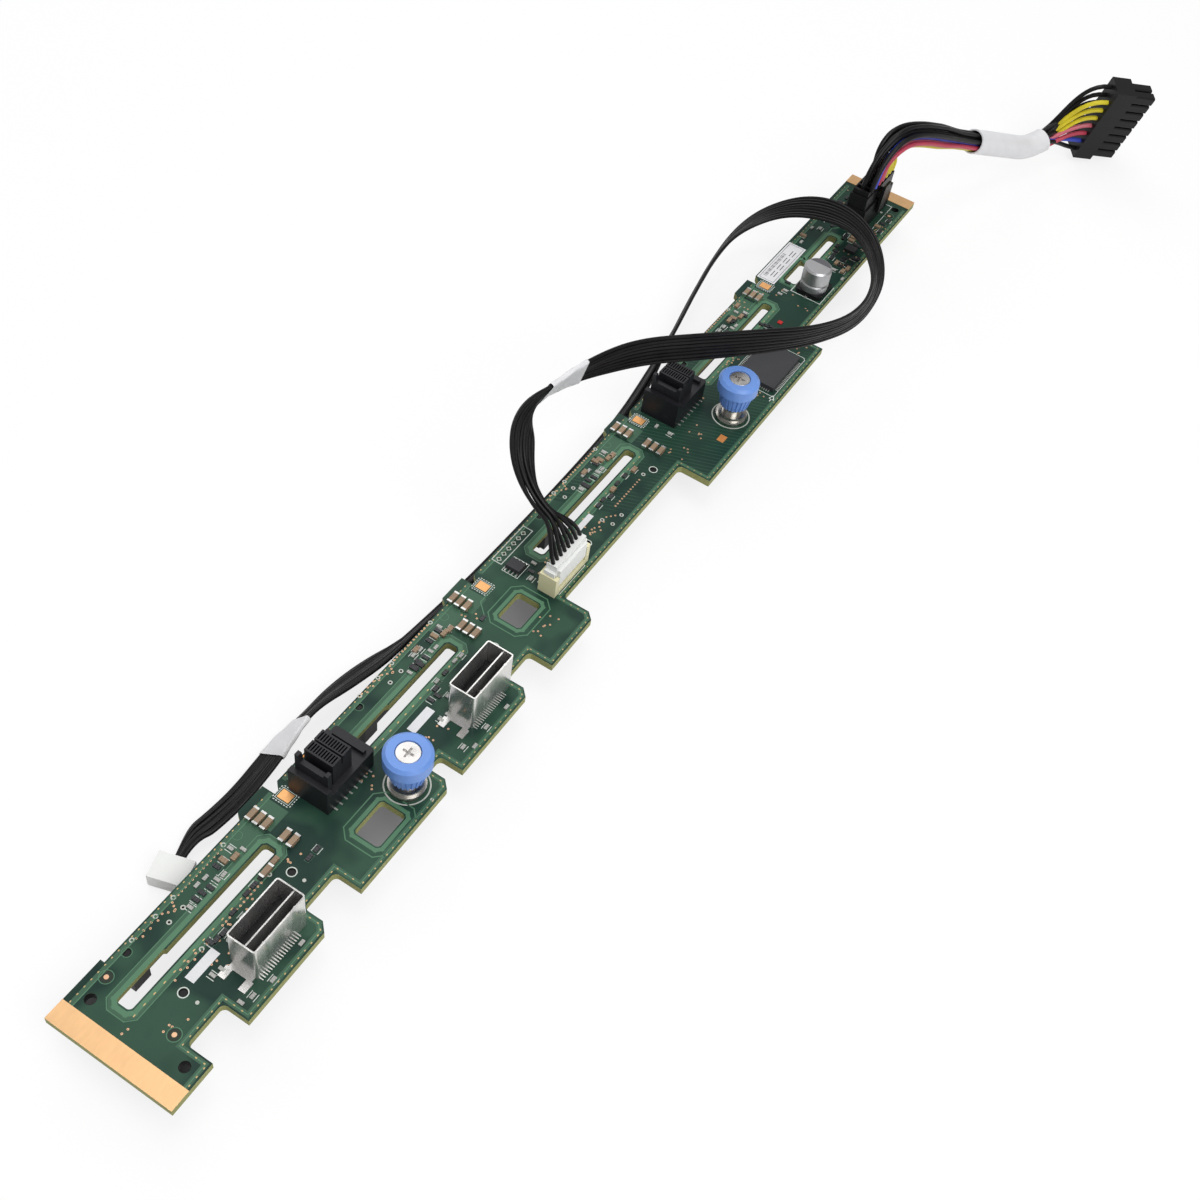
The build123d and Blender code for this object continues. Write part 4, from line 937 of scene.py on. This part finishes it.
class BACKPLANE_OT_small_parts(bpy.types.Operator):
    """Fit the small resistors, capacitors and other two-ended parts"""

    bl_idname = "backplane.small_parts"
    bl_label = "Small parts"

    def execute(self, context):
        column = [(46, 8.0, 90), (43.8, 7.3, 90), (41.6, 7.3, 90), (51.2, 5.4, 90),
                  (53.4, 5.6, 90), (55.8, 7.2, 0)]
        dark = repeated(column[:4]) + [
            (122.4, 17.6, 90), (124.6, 18.2, 90), (126.2, 16.4, 0), (132.1, 15.3, 0),
            (35.2, 17.4, 90), (49.9, 15.9, 0), (52.6, 15.9, 0), (55.4, 15.8, 0),
            (142.6, 5.2, 90), (66.2, 21.8, 0), (69.2, 21.8, 0), (153.8, 12.6, 0),
            (211, 15.4, 0), (213.8, 15.3, 0), (216.4, 16.4, 0), (222.4, 15.1, 0),
            (226.7, 15.2, 0), (318.1, 14.9, 90), (318.6, 16.5, 90), (319.2, 18, 90),
            (313.6, 6.4, 0), (318.2, 7.9, 90), (191.4, 15.8, 0), (176.6, 13.9, 90),
            (386.2, 4.6, 0), (389.4, 6.2, 90), (392.3, 4.4, 0), (396, 5.8, 0), (400.6, 4.8, 90),
            (404.5, 5.6, 0), (408.4, 8.6, 90), (386.6, 12.8, 90), (387, 20.6, 0),
            (390.5, 23.4, 0), (394.2, 24.6, 0), (399.1, 23.6, 90), (402.3, 24.5, 0),
            (385.2, 9.0, 0), (373.6, 25.4, 0), (375.4, 15.9, 0), (369.1, 21.4, 90),
            (370.9, 21.4, 90), (372.7, 24.2, 90), (344.4, 11.4, 90),
            (367.9, 17.4, 0), (370.2, 17.2, 0), (372.3, 16.8, 90), (365.6, 22.2, 90),
            (367.5, 23.9, 90), (381.4, 15.8, 0), (383.6, 15.8, 0), (36.6, 18.2, 0),
            (38.9, 18.4, 0), (44.2, 16.6, 0),
        ]
        parts(part_body(2.1, 1.15, 0.55, 0.62, "resistor"), dark, "resistors", "resistor")
        brown = repeated(column[4:]) + [
            (133.6, 4.4, 0), (219.8, 4.6, 0), (226, 4.7, 90), (312.4, 5.0, 0),
            (321.1, 3.4, 0), (145, 7.6, 0), (231.5, 7.6, 0), (219.2, 15.5, 0), (230.6, 16.2, 0),
            (388.8, 9.4, 90), (407.6, 12.6, 90), (407.6, 16.4, 90), (386.4, 16.6, 90),
            (396.2, 22.6, 90), (405.4, 9.8, 0), (394.2, 7.8, 0), (380.2, 25.4, 0),
            (366.2, 20.2, 0), (363.2, 24.2, 0), (365.9, 25.0, 0), (381.7, 18.6, 90),
            (383.8, 18.6, 90), (372.4, 3.2, 90), (60.6, 15.6, 0),
        ]
        parts(part_body(2.3, 1.35, 0.85, 0.66, "capacitor"), brown, "small_capacitors",
              "ceramic")
        pale = repeated([(48.6, 7.8, 90), (58.6, 7.4, 90), (50.6, 8.2, 0), (47.4, 5.2, 0),
                         (39.3, 7.6, 90), (44.7, 4.9, 0), (57, 4.7, 90)]) + [
            (139.5, 15.4, 0), (136.9, 15.0, 0), (118.8, 23.5, 90), (121.3, 24.1, 90),
            (128.4, 15.2, 0), (251.8, 11.8, 0), (251.5, 17.0, 90), (337, 12.1, 90),
            (339.9, 12.8, 90), (378.8, 3.6, 0), (380.6, 6.3, 0), (368.6, 4.4, 0),
            (362.2, 21.2, 90), (359.4, 26, 0), (174.4, 15.3, 0), (179.7, 12.7, 90),
            (126.4, 20.4, 0), (129.8, 19.2, 0), (124.2, 34.6, 0), (132.8, 35.2, 0),
            (44.6, 19.2, 0), (47.4, 34.8, 0), (36.4, 35.4, 0), (49.6, 20.6, 90),
            (29.2, 23.4, 90), (31.6, 24.1, 90), (115.3, 33.3, 0), (117.4, 35.6, 0),
            (30.6, 34.2, 0), (27.8, 33, 90),
        ]
        parts(part_body(1.7, 0.95, 0.5, 0.5, "pale_part"), pale, "pale_parts", "pale")
        arrays = [(128.2, 7.7, 90), (130.2, 8.1, 90), (215.4, 8.2, 90), (380.4, 21.6, 90)]
        parts(part_body(2.6, 1.5, 0.7, 0.4, "array_part"), arrays, "array_parts", "mould")
        prints([patch(322.6, 324.2, 18.6, 20.2, 0.3)], "red_part", "red")
        pads = [(at(u, v), turn, (2.6 * MM, 1.5 * MM, EDGE_LAY * MM))
                for u, v, turn in dark + brown]
        prints(pads, "part_pads", "track_mask")
        strokes = []
        for u, v, turn in (dark + brown + pale)[::2]:
            for side in (-0.95, 0.95):
                if turn:
                    strokes.append(bar(u + side, v - 1.1, u + side, v + 1.1, 0.2, LINE_LAY))
                else:
                    strokes.append(bar(u - 1.1, v + side, u + 1.1, v + side, 0.2, LINE_LAY))
        prints(strokes, "part_outlines", "ink")
        return {"FINISHED"}


class BACKPLANE_OT_can_top(bpy.types.Operator):
    """Mark the negative side on top of the capacitor's can"""

    bl_idname = "backplane.can_top"
    bl_label = "Capacitor marking"

    def execute(self, context):
        low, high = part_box("capacitor_can")
        radius = (high.x - low.x) / 2 * 0.86
        centre = Vector(((low.x + high.x) / 2, (low.y + high.y) / 2, high.z))
        mark = disc(centre - Vector((0, 0, 0.01 * MM)), radius, 0.03 * MM, 40)
        select_only(mark)
        bpy.ops.object.mode_set(mode="EDIT")
        bpy.ops.mesh.select_all(action="SELECT")
        bpy.ops.mesh.bisect(
            plane_co=centre + Vector((radius * 0.35, 0, 0)), plane_no=(1, 0, 0),
            clear_inner=True, use_fill=True,
        )
        bpy.ops.object.mode_set(mode="OBJECT")
        paint(mark, "can_mark")
        settle(mark, "can_marking", smooth=False)
        return {"FINISHED"}


# ---------------------------------------------------------------- cables


def centre_line(name, route, steps):
    """Points along the smooth line that a cable follows, read from its own curve."""
    curve = bpy.data.curves.new(name, "CURVE")
    curve.dimensions = "3D"
    curve.resolution_u = steps
    spline = curve.splines.new("NURBS")
    spline.points.add(len(route) - 1)
    for point, spot in zip(spline.points, route):
        point.co = (*spot, 1.0)
    spline.order_u = 3
    spline.use_endpoint_u = True
    guide = bpy.data.objects.new(name, curve)
    bpy.context.scene.collection.objects.link(guide)
    bpy.context.view_layer.update()
    mesh = bpy.data.meshes.new_from_object(guide)
    points = [vertex.co.copy() for vertex in mesh.vertices]
    bpy.data.meshes.remove(mesh)
    bpy.data.objects.remove(guide)
    return points


def tangents(points):
    out = []
    for i in range(len(points)):
        a, b = points[max(0, i - 1)], points[min(len(points) - 1, i + 1)]
        out.append((b - a).normalized())
    return out


def carried(points, first):
    """A side direction carried along a line without twisting."""
    side = first.copy()
    out = []
    for way in tangents(points):
        side = (side - way * side.dot(way)).normalized()
        out.append(side.copy())
    return out


def distances(points):
    out = [0.0]
    for a, b in zip(points, points[1:]):
        out.append(out[-1] + (b - a).length)
    return out


def mesh_piece(name, verts, faces):
    mesh = bpy.data.meshes.new(name)
    mesh.from_pydata(verts, [], faces)
    piece = bpy.data.objects.new(name, mesh)
    bpy.context.scene.collection.objects.link(piece)
    return piece


def tube_faces(rows, sides, start=0):
    """Four-sided faces round a tube whose points go row by row."""
    faces = []
    for row in range(start, start + (rows - 1) * sides, sides):
        for k in range(sides):
            a, b = row + k, row + (k + 1) % sides
            faces.append((a, b, b + sides, a + sides))
    return faces


def sweep(lines, radius, sides, name, marks=None):
    """Round wires along the given lines, closed at both ends, as one mesh."""
    verts, faces, slots = [], [], []
    for number, line in enumerate(lines):
        start = len(verts)
        ways = tangents(line)
        side = ways[0].orthogonal().normalized()
        for spot, way in zip(line, ways):
            side = (side - way * side.dot(way)).normalized()
            over = way.cross(side)
            for k in range(sides):
                turn = 2 * math.pi * k / sides
                verts.append(spot + (side * math.cos(turn) + over * math.sin(turn)) * radius)
        rows = len(line)
        faces += tube_faces(rows, sides, start)
        faces.append(tuple(start + k for k in reversed(range(sides))))
        faces.append(tuple(start + (rows - 1) * sides + k for k in range(sides)))
        slots += [marks[number] if marks else 0] * ((rows - 1) * sides + 2)
    piece = mesh_piece(name, verts, faces)
    for polygon, mark in zip(piece.data.polygons, slots):
        polygon.material_index = mark
    return piece


def ease(t):
    """A smooth step from 0 to 1."""
    t = max(0.0, min(1.0, t))
    return t * t * (3 - 2 * t)


RIBBON_ROUTE = [
    at(181.5, 21.7, 11.4), at(181.2, 18.6, 19.5), at(181, 10.2, 24), at(184.5, 2.5, 30.5),
    at(193.5, -4.0, 33.3), at(204.5, -8, 33), at(218, -8.2, 31), at(234, -5.2, 28.5),
    at(250.8, 2, 27), at(266, 13.5, 25), at(285, 26, 21), at(306.5, 37.5, 15.5),
    at(331, 43.6, 10), at(353, 41, 8.5), at(367.5, 32.5, 10.5), at(374.3, 21.8, 13),
    at(375.8, 9.5, 13), at(374.5, -2.5, 9.5), at(369.5, -12.2, 4), at(359.5, -17.6, -1),
    at(345, -18.2, -4.5), at(325, -15, -6), at(300, -9.8, -6.8), at(276, -5.0, -8.0),
    at(252, -2.2, -9.0), at(222, -1.4, -9.3), at(192, -1.3, -9.3), at(164, -1.6, -9.2),
    at(146, -2.8, -8.4), at(131, -4.6, -7.2), at(118, -6.9, -6.4), at(106, -8.7, -6.3),
    at(95, -8.9, -6.9), at(84, -7.8, -7.8), at(73, -7.4, -8.8), at(64, -8.2, -9.2),
    at(57, -9.4, -9.2), at(50.6, -7.4, -9.2),
]
# the direction that the stage's camera looks in, rounded; the ribbon's roll is measured from it
OVERLOOK = Vector((0.582, 0.260, -0.771))
# how the ribbon rolls: by the number of the route's point, the angle about its run between
# showing its whole flat side (0) and only its edge (90) to that look, and how far its wires
# are drawn together, from side by side (0) to a round bundle (1)
RIBBON_ROLL = [
    (0, 49, 0), (1, 49, 0.5), (1.6, 47, 0.85), (2.2, 45, 0.7), (3, 45, 0.2), (3.6, 45, 0),
    (4, 42, 0), (4.5, 65, 0), (5, 83, 0), (5.5, 100, 0), (6, 90, 0), (6.5, 77, 0), (7, 66, 0),
    (7.5, 50, 0), (8, 40, 0), (9, 38, 0), (10, 44, 0), (11, 64, 0), (11.5, 67, 0),
    (12, 65, 0), (12.5, 68, 0), (13, 60, 0), (13.5, 44, 0), (14, 40, 0), (14.5, 33, 0),
    (15, 28, 0), (15.5, 22, 0), (16, 8, 0), (16.5, 15, 0), (17, 26, 0), (17.5, 41, 0),
    (18, 49, 0), (18.5, 59, 0), (19, 71, 0), (19.5, 80, 0), (20, 85, 0), (22, 85, 0),
    (22.8, 85, 0.9), (27.5, 86, 0.9), (28, 86, 0.6), (28.5, 75, 0.3), (29, 62, 0), (30, 60, 0),
    (30.5, 66, 0), (31, 76, 0), (31.5, 76, 0), (32, 62, 0), (32.6, 50, 0), (34, 48, 0.1),
    (35.5, 45, 0.3), (37, 45, 0.5),
]

MATE = Vector((0.656, -0.746, -0.113)).normalized()
ALONG = Vector((-0.078, -0.216, 0.973))
ALONG = (ALONG - MATE * ALONG.dot(MATE)).normalized()
BIG_PLUG = at(511.8, 63.9, 8.4)
HARNESS_END = BIG_PLUG - ALONG * 8 * MM
HARNESS_ROUTE = [
    at(399.3, 15, 17), at(399.9, 15.2, 23.6), at(402.8, 16.3, 29.0), at(408.8, 18.5, 31.2),
    at(417.8, 21.8, 29.0), at(428.5, 25.6, 24.5), at(444, 31.2, 17.4), at(466.5, 39.6, 7.8),
    at(489.5, 47.3, -2.4), HARNESS_END - MATE * 10 * MM, HARNESS_END,
]


def ribbon_lay(points):
    """At each point of the ribbon, its flat direction and how bundled its wires are."""
    last = len(RIBBON_ROUTE) - 1
    rolls = []
    for number in range(len(points)):
        t = number / (len(points) - 1) * (last - 1)
        place = min(last, 2 * t, t + 0.5)
        before = max((k for k in RIBBON_ROLL if k[0] <= place), key=lambda k: k[0])
        after = min((k for k in RIBBON_ROLL if k[0] >= place), key=lambda k: k[0])
        share = 0 if after[0] == before[0] else (place - before[0]) / (after[0] - before[0])
        rolls.append((before[1] + (after[1] - before[1]) * share,
                      before[2] + (after[2] - before[2]) * share))
    for _ in range(12):
        rolls = [
            tuple((a + 2 * b + c) / 4 for a, b, c in
                  zip(rolls[max(0, i - 1)], rolls[i], rolls[min(len(rolls) - 1, i + 1)]))
            for i in range(len(rolls))
        ]
    out = []
    for way, (roll, bundled) in zip(tangents(points), rolls):
        face = OVERLOOK.cross(way).normalized()
        edge = way.cross(face)
        turn = math.radians(roll)
        out.append((face * math.cos(turn) + edge * math.sin(turn), bundled))
    return out


# places of the ribbon's wires where they are drawn together, in wire diameters
RIBBON_BUNDLE = [(-1.3, -0.1), (-0.85, 0.85), (-0.5, -0.6), (0, 0.3), (0.1, -1.3), (0.55, 1.2),
                 (0.85, -0.5), (1.05, 0.45)]
RIBBON_WIRES = len(RIBBON_BUNDLE)
# where the white wraps start and end: from the header, and back from the end plug
NEAR_WRAP, END_WRAP = (57 * MM, 78 * MM), (50.5 * MM, 36 * MM)
HEADER_PITCH = 2.0 * MM
RIBBON_FAN = 14 * MM                 # over which the wires spread to the header's pitch
RIBBON_CLOSE = 12 * MM               # over which they draw together into the end plug


class BACKPLANE_OT_ribbon(bpy.types.Operator):
    """Lay the flat cable of side-by-side wires from its header to its end plug"""

    bl_idname = "backplane.ribbon"
    bl_label = "Flat cable"

    def execute(self, context):
        sizes = context.scene.backplane_cables
        points = centre_line("ribbon_guide", RIBBON_ROUTE, 8)
        lay = ribbon_lay(points)
        sides = [side for side, _ in lay]
        run = distances(points)
        total = run[-1]
        middle = (RIBBON_WIRES - 1) / 2
        wires = []
        for number in range(RIBBON_WIRES):
            round_place = Vector(RIBBON_BUNDLE[number]) * sizes.ribbon_wire
            wire = []
            for spot, (side, bundled), way, length in zip(points, lay, tangents(points), run):
                over = way.cross(side)
                lift = math.sin(length * 95 + number * 1.9) * 0.10 * MM
                flat = side * (number - middle) * sizes.ribbon_pitch + over * lift
                drawn = side * round_place.x + over * round_place.y
                offset = flat.lerp(drawn, bundled)
                if length < RIBBON_FAN:
                    plug = Vector(((number - middle) * HEADER_PITCH, 0, 0))
                    offset = plug.lerp(offset, ease(length / RIBBON_FAN))
                close = 1 - 0.5 * ease((length - total + RIBBON_CLOSE) / RIBBON_CLOSE)
                wire.append(spot + offset * close)
            wires.append(wire)
        ribbon = sweep(wires, sizes.ribbon_wire / 2, sizes.sides, "ribbon_wires")
        paint(ribbon, "wire_black")
        settle(ribbon, "ribbon_wires")
        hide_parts("ribbon_cord")
        wraps = [
            self.wrap(points, sides, run, *NEAR_WRAP, "ribbon_wrap_near", sizes),
            self.wrap(points, sides, run, *(total - back for back in END_WRAP),
                      "ribbon_wrap_end", sizes),
        ]
        return {"FINISHED"}

    def wrap(self, points, sides, run, start, end, name, sizes):
        """A band of white film closed round the wires."""
        chosen = [i for i, s in enumerate(run) if start <= s <= end]
        wide = (7 * sizes.ribbon_pitch + sizes.ribbon_wire) / 2 + 0.35 * MM
        thick = sizes.ribbon_wire / 2 + 0.35 * MM
        corners = 20
        verts = []
        ways = tangents(points)
        for row, i in enumerate(chosen):
            over = ways[i].cross(sides[i])
            for k in range(corners):
                turn = 2 * math.pi * k / corners
                c, s = math.cos(turn), math.sin(turn)
                across = math.copysign(abs(c) ** 0.35, c) * wide
                up = math.copysign(abs(s) ** 0.55, s) * thick
                pucker = 0.12 * MM * math.sin(turn * 3 + row * 1.3)
                verts.append(points[i] + sides[i] * across + over * (up + pucker))
        piece = mesh_piece(name, verts, tube_faces(len(chosen), corners))
        wall = piece.modifiers.new("film", "SOLIDIFY")
        wall.thickness = 0.18 * MM
        wall.offset = -1
        soften = piece.modifiers.new("soft", "SUBSURF")
        soften.levels = soften.render_levels = 1
        apply_modifiers(piece)
        paint(piece, "film")
        return settle(piece, name)


# places in the bundle of the harness wires, in wire diameters
BUNDLE = [(0, 0)] + [
    (math.cos(math.radians(a)), math.sin(math.radians(a))) for a in range(0, 360, 60)
] + [(1.9 * math.cos(math.radians(a)), 1.9 * math.sin(math.radians(a)))
     for a in (15, 65, 117, 168, 219, 270, 321)]
# the place that each wire takes: the rear row of the small plug, then its front row
BUNDLE_PLACES = [10, 4, 9, 3, 0, 2, 8, 11, 5, 12, 6, 13, 1, 7]
HARNESS_WIRES = len(BUNDLE)
HARNESS_ROW = HARNESS_WIRES // 2
SMALL_FAN = 7 * MM                   # length of the single wires at the small plug
LARGE_FAN = 22 * MM                  # and at the large plug
SMALL_PLUG_PITCH, SMALL_PLUG_ROWS = 3.0 * MM, 3.4 * MM
BIG_PLUG_PITCH, BIG_PLUG_ROWS = 4.2 * MM, 4.4 * MM
WIRE_FINISHES = ["wire_black", "wire_blue", "wire_red", "wire_pink", "wire_yellow"]
# finishes of the front row, by their place in WIRE_FINISHES; the rear row is black
FRONT_ROW = [0, 1, 2, 3, 4, 4, 4]


class BACKPLANE_OT_harness(bpy.types.Operator):
    """Run the power wires from the small plug through their sleeve to the large plug"""

    bl_idname = "backplane.harness"
    bl_label = "Power harness"

    def execute(self, context):
        sizes = context.scene.backplane_cables
        thick = sizes.harness_wire
        points = centre_line("harness_guide", HARNESS_ROUTE, 14)
        sides = carried(points, Vector((1, 0, 0)))
        ways = tangents(points)
        run = distances(points)
        total = run[-1]
        low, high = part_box("power_plug")
        middle = (low + high) / 2
        marks, near, ends = [], [], []
        for number in range(HARNESS_WIRES):
            row, column = divmod(number, HARNESS_ROW)
            marks.append(FRONT_ROW[column] if row else 0)
            near.append(Vector((middle.x + (column - 3) * SMALL_PLUG_PITCH,
                                middle.y + (0.5 - row) * SMALL_PLUG_ROWS, high.z)))
            ends.append(BIG_PLUG + ALONG * (column + (0 if row else 1) - 3.5) * BIG_PLUG_PITCH
                        + ALONG.cross(MATE) * (0.5 - row) * BIG_PLUG_ROWS)
        lines = []
        for number in range(HARNESS_WIRES):
            x, y = BUNDLE[BUNDLE_PLACES[number]]
            line = []
            for spot, side, way, length in zip(points, sides, ways, run):
                over = way.cross(side)
                swing = math.radians(20) * length / total
                a = x * math.cos(swing) - y * math.sin(swing)
                b = x * math.sin(swing) + y * math.cos(swing)
                tight = ease((length - 0.042) / 0.016) * ease((total - 0.010 - length) / 0.012)
                line.append(spot + (side * a + over * b) * thick * (1.12 - 0.26 * tight))
            lines.append(line)
        # the wires leave the small plug in two rows and close up over the first 16 mm
        for line, spot in zip(lines, near):
            for i, length in enumerate(run):
                if length < 0.016:
                    share = ease((length - 0.002) / 0.014)
                    line[i] = (spot + (points[i] - points[0])).lerp(line[i], share)
        first = next(i for i, s in enumerate(run) if s > SMALL_FAN)
        last = next(i for i, s in enumerate(run) if s > total - LARGE_FAN)
        core = [n for n in range(HARNESS_WIRES) if (ends[n] - HARNESS_END).length < 8.0 * MM]
        for n in core:
            for i in range(last, len(points)):
                share = ease((run[i] - run[last]) / (total - run[last]))
                lines[n][i] = lines[n][i].lerp(
                    ends[n] + (points[i] - points[-1]), share)
        trunk = sweep(
            [line[first:] if n in core else line[first:last + 1]
             for n, line in enumerate(lines)],
            thick / 2, sizes.sides, "harness_wires", marks)
        paint(trunk, *WIRE_FINISHES)
        settle(trunk, "harness_wires")
        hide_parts("harness_cord")
        fan_near = sweep([line[:first + 1] for line in lines], thick / 2, sizes.sides,
                         "harness_fan_near", marks)
        outer = [n for n in range(HARNESS_WIRES) if n not in core]
        fan_far = sweep(
            [self.join_up(lines[n][last], ways[last], ends[n], MATE) for n in outer],
            thick / 2, sizes.sides, "harness_fan_far", [marks[n] for n in outer])
        for fan in (fan_near, fan_far):
            paint(fan, *WIRE_FINISHES)
            settle(fan, fan.name)
        return {"FINISHED"}

    def join_up(self, start, way_in, end, way_out, steps=14):
        """A wire that leaves one point and reaches another in the given directions."""
        reach = (end - start).length * 0.45
        a, b = start + way_in * reach, end - way_out * reach
        line = []
        for i in range(steps + 1):
            t = i / steps
            line.append(
                start * (1 - t) ** 3 + a * 3 * t * (1 - t) ** 2
                + b * 3 * t * t * (1 - t) + end * t ** 3
            )
        return line


# ---------------------------------------------------------------- stage


# dark patches of the floor: along, across, half sizes, depth of the shade.  They aren't below
# the windows and the near tooling holes but beside them, where the stage's camera sees the
# floor through them, so they only fit that one view
FLOOR_SHADE = [(89.7, 25.7, 6.5, 5.0, 0.85), (170.9, 14.5, 6.5, 5.0, 0.85),
               (11.9, 0.6, 2.4, 2.4, 1.0), (11.9, 29.2, 2.4, 2.4, 1.0)]


CAMERA_PLACE = (-0.28354, -0.13038, 0.34780)
CAMERA_RIGHT = Vector((0.52971, -0.84009, 0.11687))
CAMERA_UP = Vector((0.61700, 0.47621, 0.62653))
CAMERA_LOOK = Vector((0.58199, 0.25977, -0.77059))
WORLD_LIGHT = 0.42
FLOOR_DROP = 0.4 * MM                # keeps the floor off what stands on it
LIGHT_AIM = Vector((0.03, 0, 0.02))
# name, place, size and share of the main light's power
LAMPS = [("key_light", (-0.35, -0.75, 1.0), 0.8, 1.0),
         ("fill_light", (0.7, 0.8, 0.9), 0.9, 0.55),
         ("top_light", (0.05, 0.05, 1.35), 0.7, 0.6)]


class BACKPLANE_OT_stage(bpy.types.Operator):
    """Set up the floor, the lights and the camera"""

    bl_idname = "backplane.stage"
    bl_label = "Stage"

    def execute(self, context):
        scene = context.scene
        settings = scene.backplane_stage
        scene.view_settings.view_transform = "Standard"
        camera = bpy.data.objects.new("camera", bpy.data.cameras.new("camera"))
        scene.collection.objects.link(camera)
        turn = Matrix((CAMERA_RIGHT, CAMERA_UP, -CAMERA_LOOK)).transposed().to_4x4()
        camera.matrix_world = Matrix.Translation(CAMERA_PLACE) @ turn
        camera.data.sensor_width = 36
        camera.data.lens = settings.lens
        camera.data.clip_start = 0.01
        camera.data.clip_end = 20
        scene.camera = camera

        world = bpy.data.worlds.new("studio")
        scene.world = world
        world.use_nodes = True
        tree = world.node_tree
        tree.nodes.clear()
        output, soft, white, path, seen, either = (
            tree.nodes.new("ShaderNode" + kind) for kind in (
                "OutputWorld", "Background", "Background", "LightPath", "Math", "MixShader"))
        soft.inputs[0].default_value = white.inputs[0].default_value = (1, 1, 1, 1)
        soft.inputs[1].default_value = WORLD_LIGHT
        seen.operation = "MAXIMUM"
        for source, target in (
            (path.outputs["Is Camera Ray"], seen.inputs[0]),
            (path.outputs["Is Transmission Ray"], seen.inputs[1]),
            (seen.outputs[0], either.inputs[0]),
            (soft.outputs[0], either.inputs[1]),
            (white.outputs[0], either.inputs[2]),
            (either.outputs[0], output.inputs[0]),
        ):
            tree.links.new(source, target)

        bpy.ops.object.select_all(action="DESELECT")
        bpy.ops.mesh.primitive_plane_add(size=8, location=(0, 0, FLOOR - FLOOR_DROP))
        floor = context.object
        floor.name = "floor"
        bpy.ops.object.transform_apply(location=True)
        finish = Finish("pale_floor", base_color=(0.86, 0.86, 0.86, 1), roughness=0.7)
        rays = finish.tree.nodes.new("ShaderNodeLightPath").outputs
        camera_ray, glossy_ray, clear_ray = (
            Flow(finish, rays[f"Is {kind} Ray"]) for kind in ("Camera", "Glossy", "Transmission"))
        shade = self.shade_patches(finish)
        share = ((camera_ray + clear_ray) * 0.8 + glossy_ray * 0.35) * (1.0 - shade)
        finish.feed(base_color=finish.blend(shade, (0.86, 0.86, 0.86), (0.04, 0.04, 0.04)))
        glow = finish.node("ShaderNodeEmission", None, (1, 1, 1, 1))
        surface = Flow(finish, finish.shader.outputs[0])
        mixed = finish.node("ShaderNodeMixShader", None, share, surface, glow)
        finish.tree.links.new(mixed.socket, finish.output.inputs[0])
        floor.data.materials.append(finish.material)

        for name, place, size, share in LAMPS:
            self.softbox(name, place, size, settings.softbox * share)
        return {"FINISHED"}

    def shade_patches(self, finish):
        """How dark the floor is painted: the patches of FLOOR_SHADE."""
        along, across = finish.axis("X"), finish.axis("Y")
        shade = None
        for u, v, half_u, half_v, depth in FLOOR_SHADE:
            centre = at(u, v)
            reach = []
            for axis, middle, half in ((along, centre.x, half_u), (across, centre.y, half_v)):
                away = finish.node("ShaderNodeMath", {"operation": "ABSOLUTE"}, axis - middle)
                reach.append(away < half * MM)
            spot = reach[0] * reach[1] * depth
            shade = spot if shade is None else shade + spot
        return shade

    def softbox(self, name, place, size, power):
        light = bpy.data.lights.new(name, "AREA")
        light.shape = "SQUARE"
        light.size = size
        light.energy = power
        lamp = bpy.data.objects.new(name, light)
        bpy.context.scene.collection.objects.link(lamp)
        aim = LIGHT_AIM - Vector(place)
        lamp.rotation_euler = aim.to_track_quat("-Z", "Y").to_euler()
        lamp.location = place


# ---------------------------------------------------------------- panel and start


OPERATORS = [
    BACKPLANE_OT_stage,
    BACKPLANE_OT_node_finishes,
    BACKPLANE_OT_pours,
    BACKPLANE_OT_vias,
    BACKPLANE_OT_ink,
    BACKPLANE_OT_small_parts,
    BACKPLANE_OT_can_top,
    BACKPLANE_OT_ribbon,
    BACKPLANE_OT_harness,
]


class BACKPLANE_PT_build(bpy.types.Panel):
    """Lists the steps that dress the board"""

    bl_label = "Drive backplane board"
    bl_idname = "BACKPLANE_PT_build"
    bl_space_type = "VIEW_3D"
    bl_region_type = "UI"
    bl_category = "Backplane"

    def draw(self, context):
        for group in ("backplane_board", "backplane_cables", "backplane_stage"):
            settings = getattr(context.scene, group)
            for name in settings.__annotations__:
                self.layout.prop(settings, name)
        for operator in OPERATORS:
            self.layout.operator(operator.bl_idname)


CLASSES = [
    BackplaneBoardSettings, BackplaneCableSettings, BackplaneStageSettings,
    *OPERATORS, BACKPLANE_PT_build,
]


def register():
    for cls in CLASSES:
        bpy.utils.register_class(cls)
    scene = bpy.types.Scene
    scene.backplane_board = bpy.props.PointerProperty(type=BackplaneBoardSettings)
    scene.backplane_cables = bpy.props.PointerProperty(type=BackplaneCableSettings)
    scene.backplane_stage = bpy.props.PointerProperty(type=BackplaneStageSettings)


def unregister():
    scene = bpy.types.Scene
    del scene.backplane_board, scene.backplane_cables, scene.backplane_stage
    for cls in reversed(CLASSES):
        bpy.utils.unregister_class(cls)


def main():
    register()
    for operator in OPERATORS:
        group, name = operator.bl_idname.split(".")
        getattr(getattr(bpy.ops, group), name)()


if __name__ == "__main__":
    main()
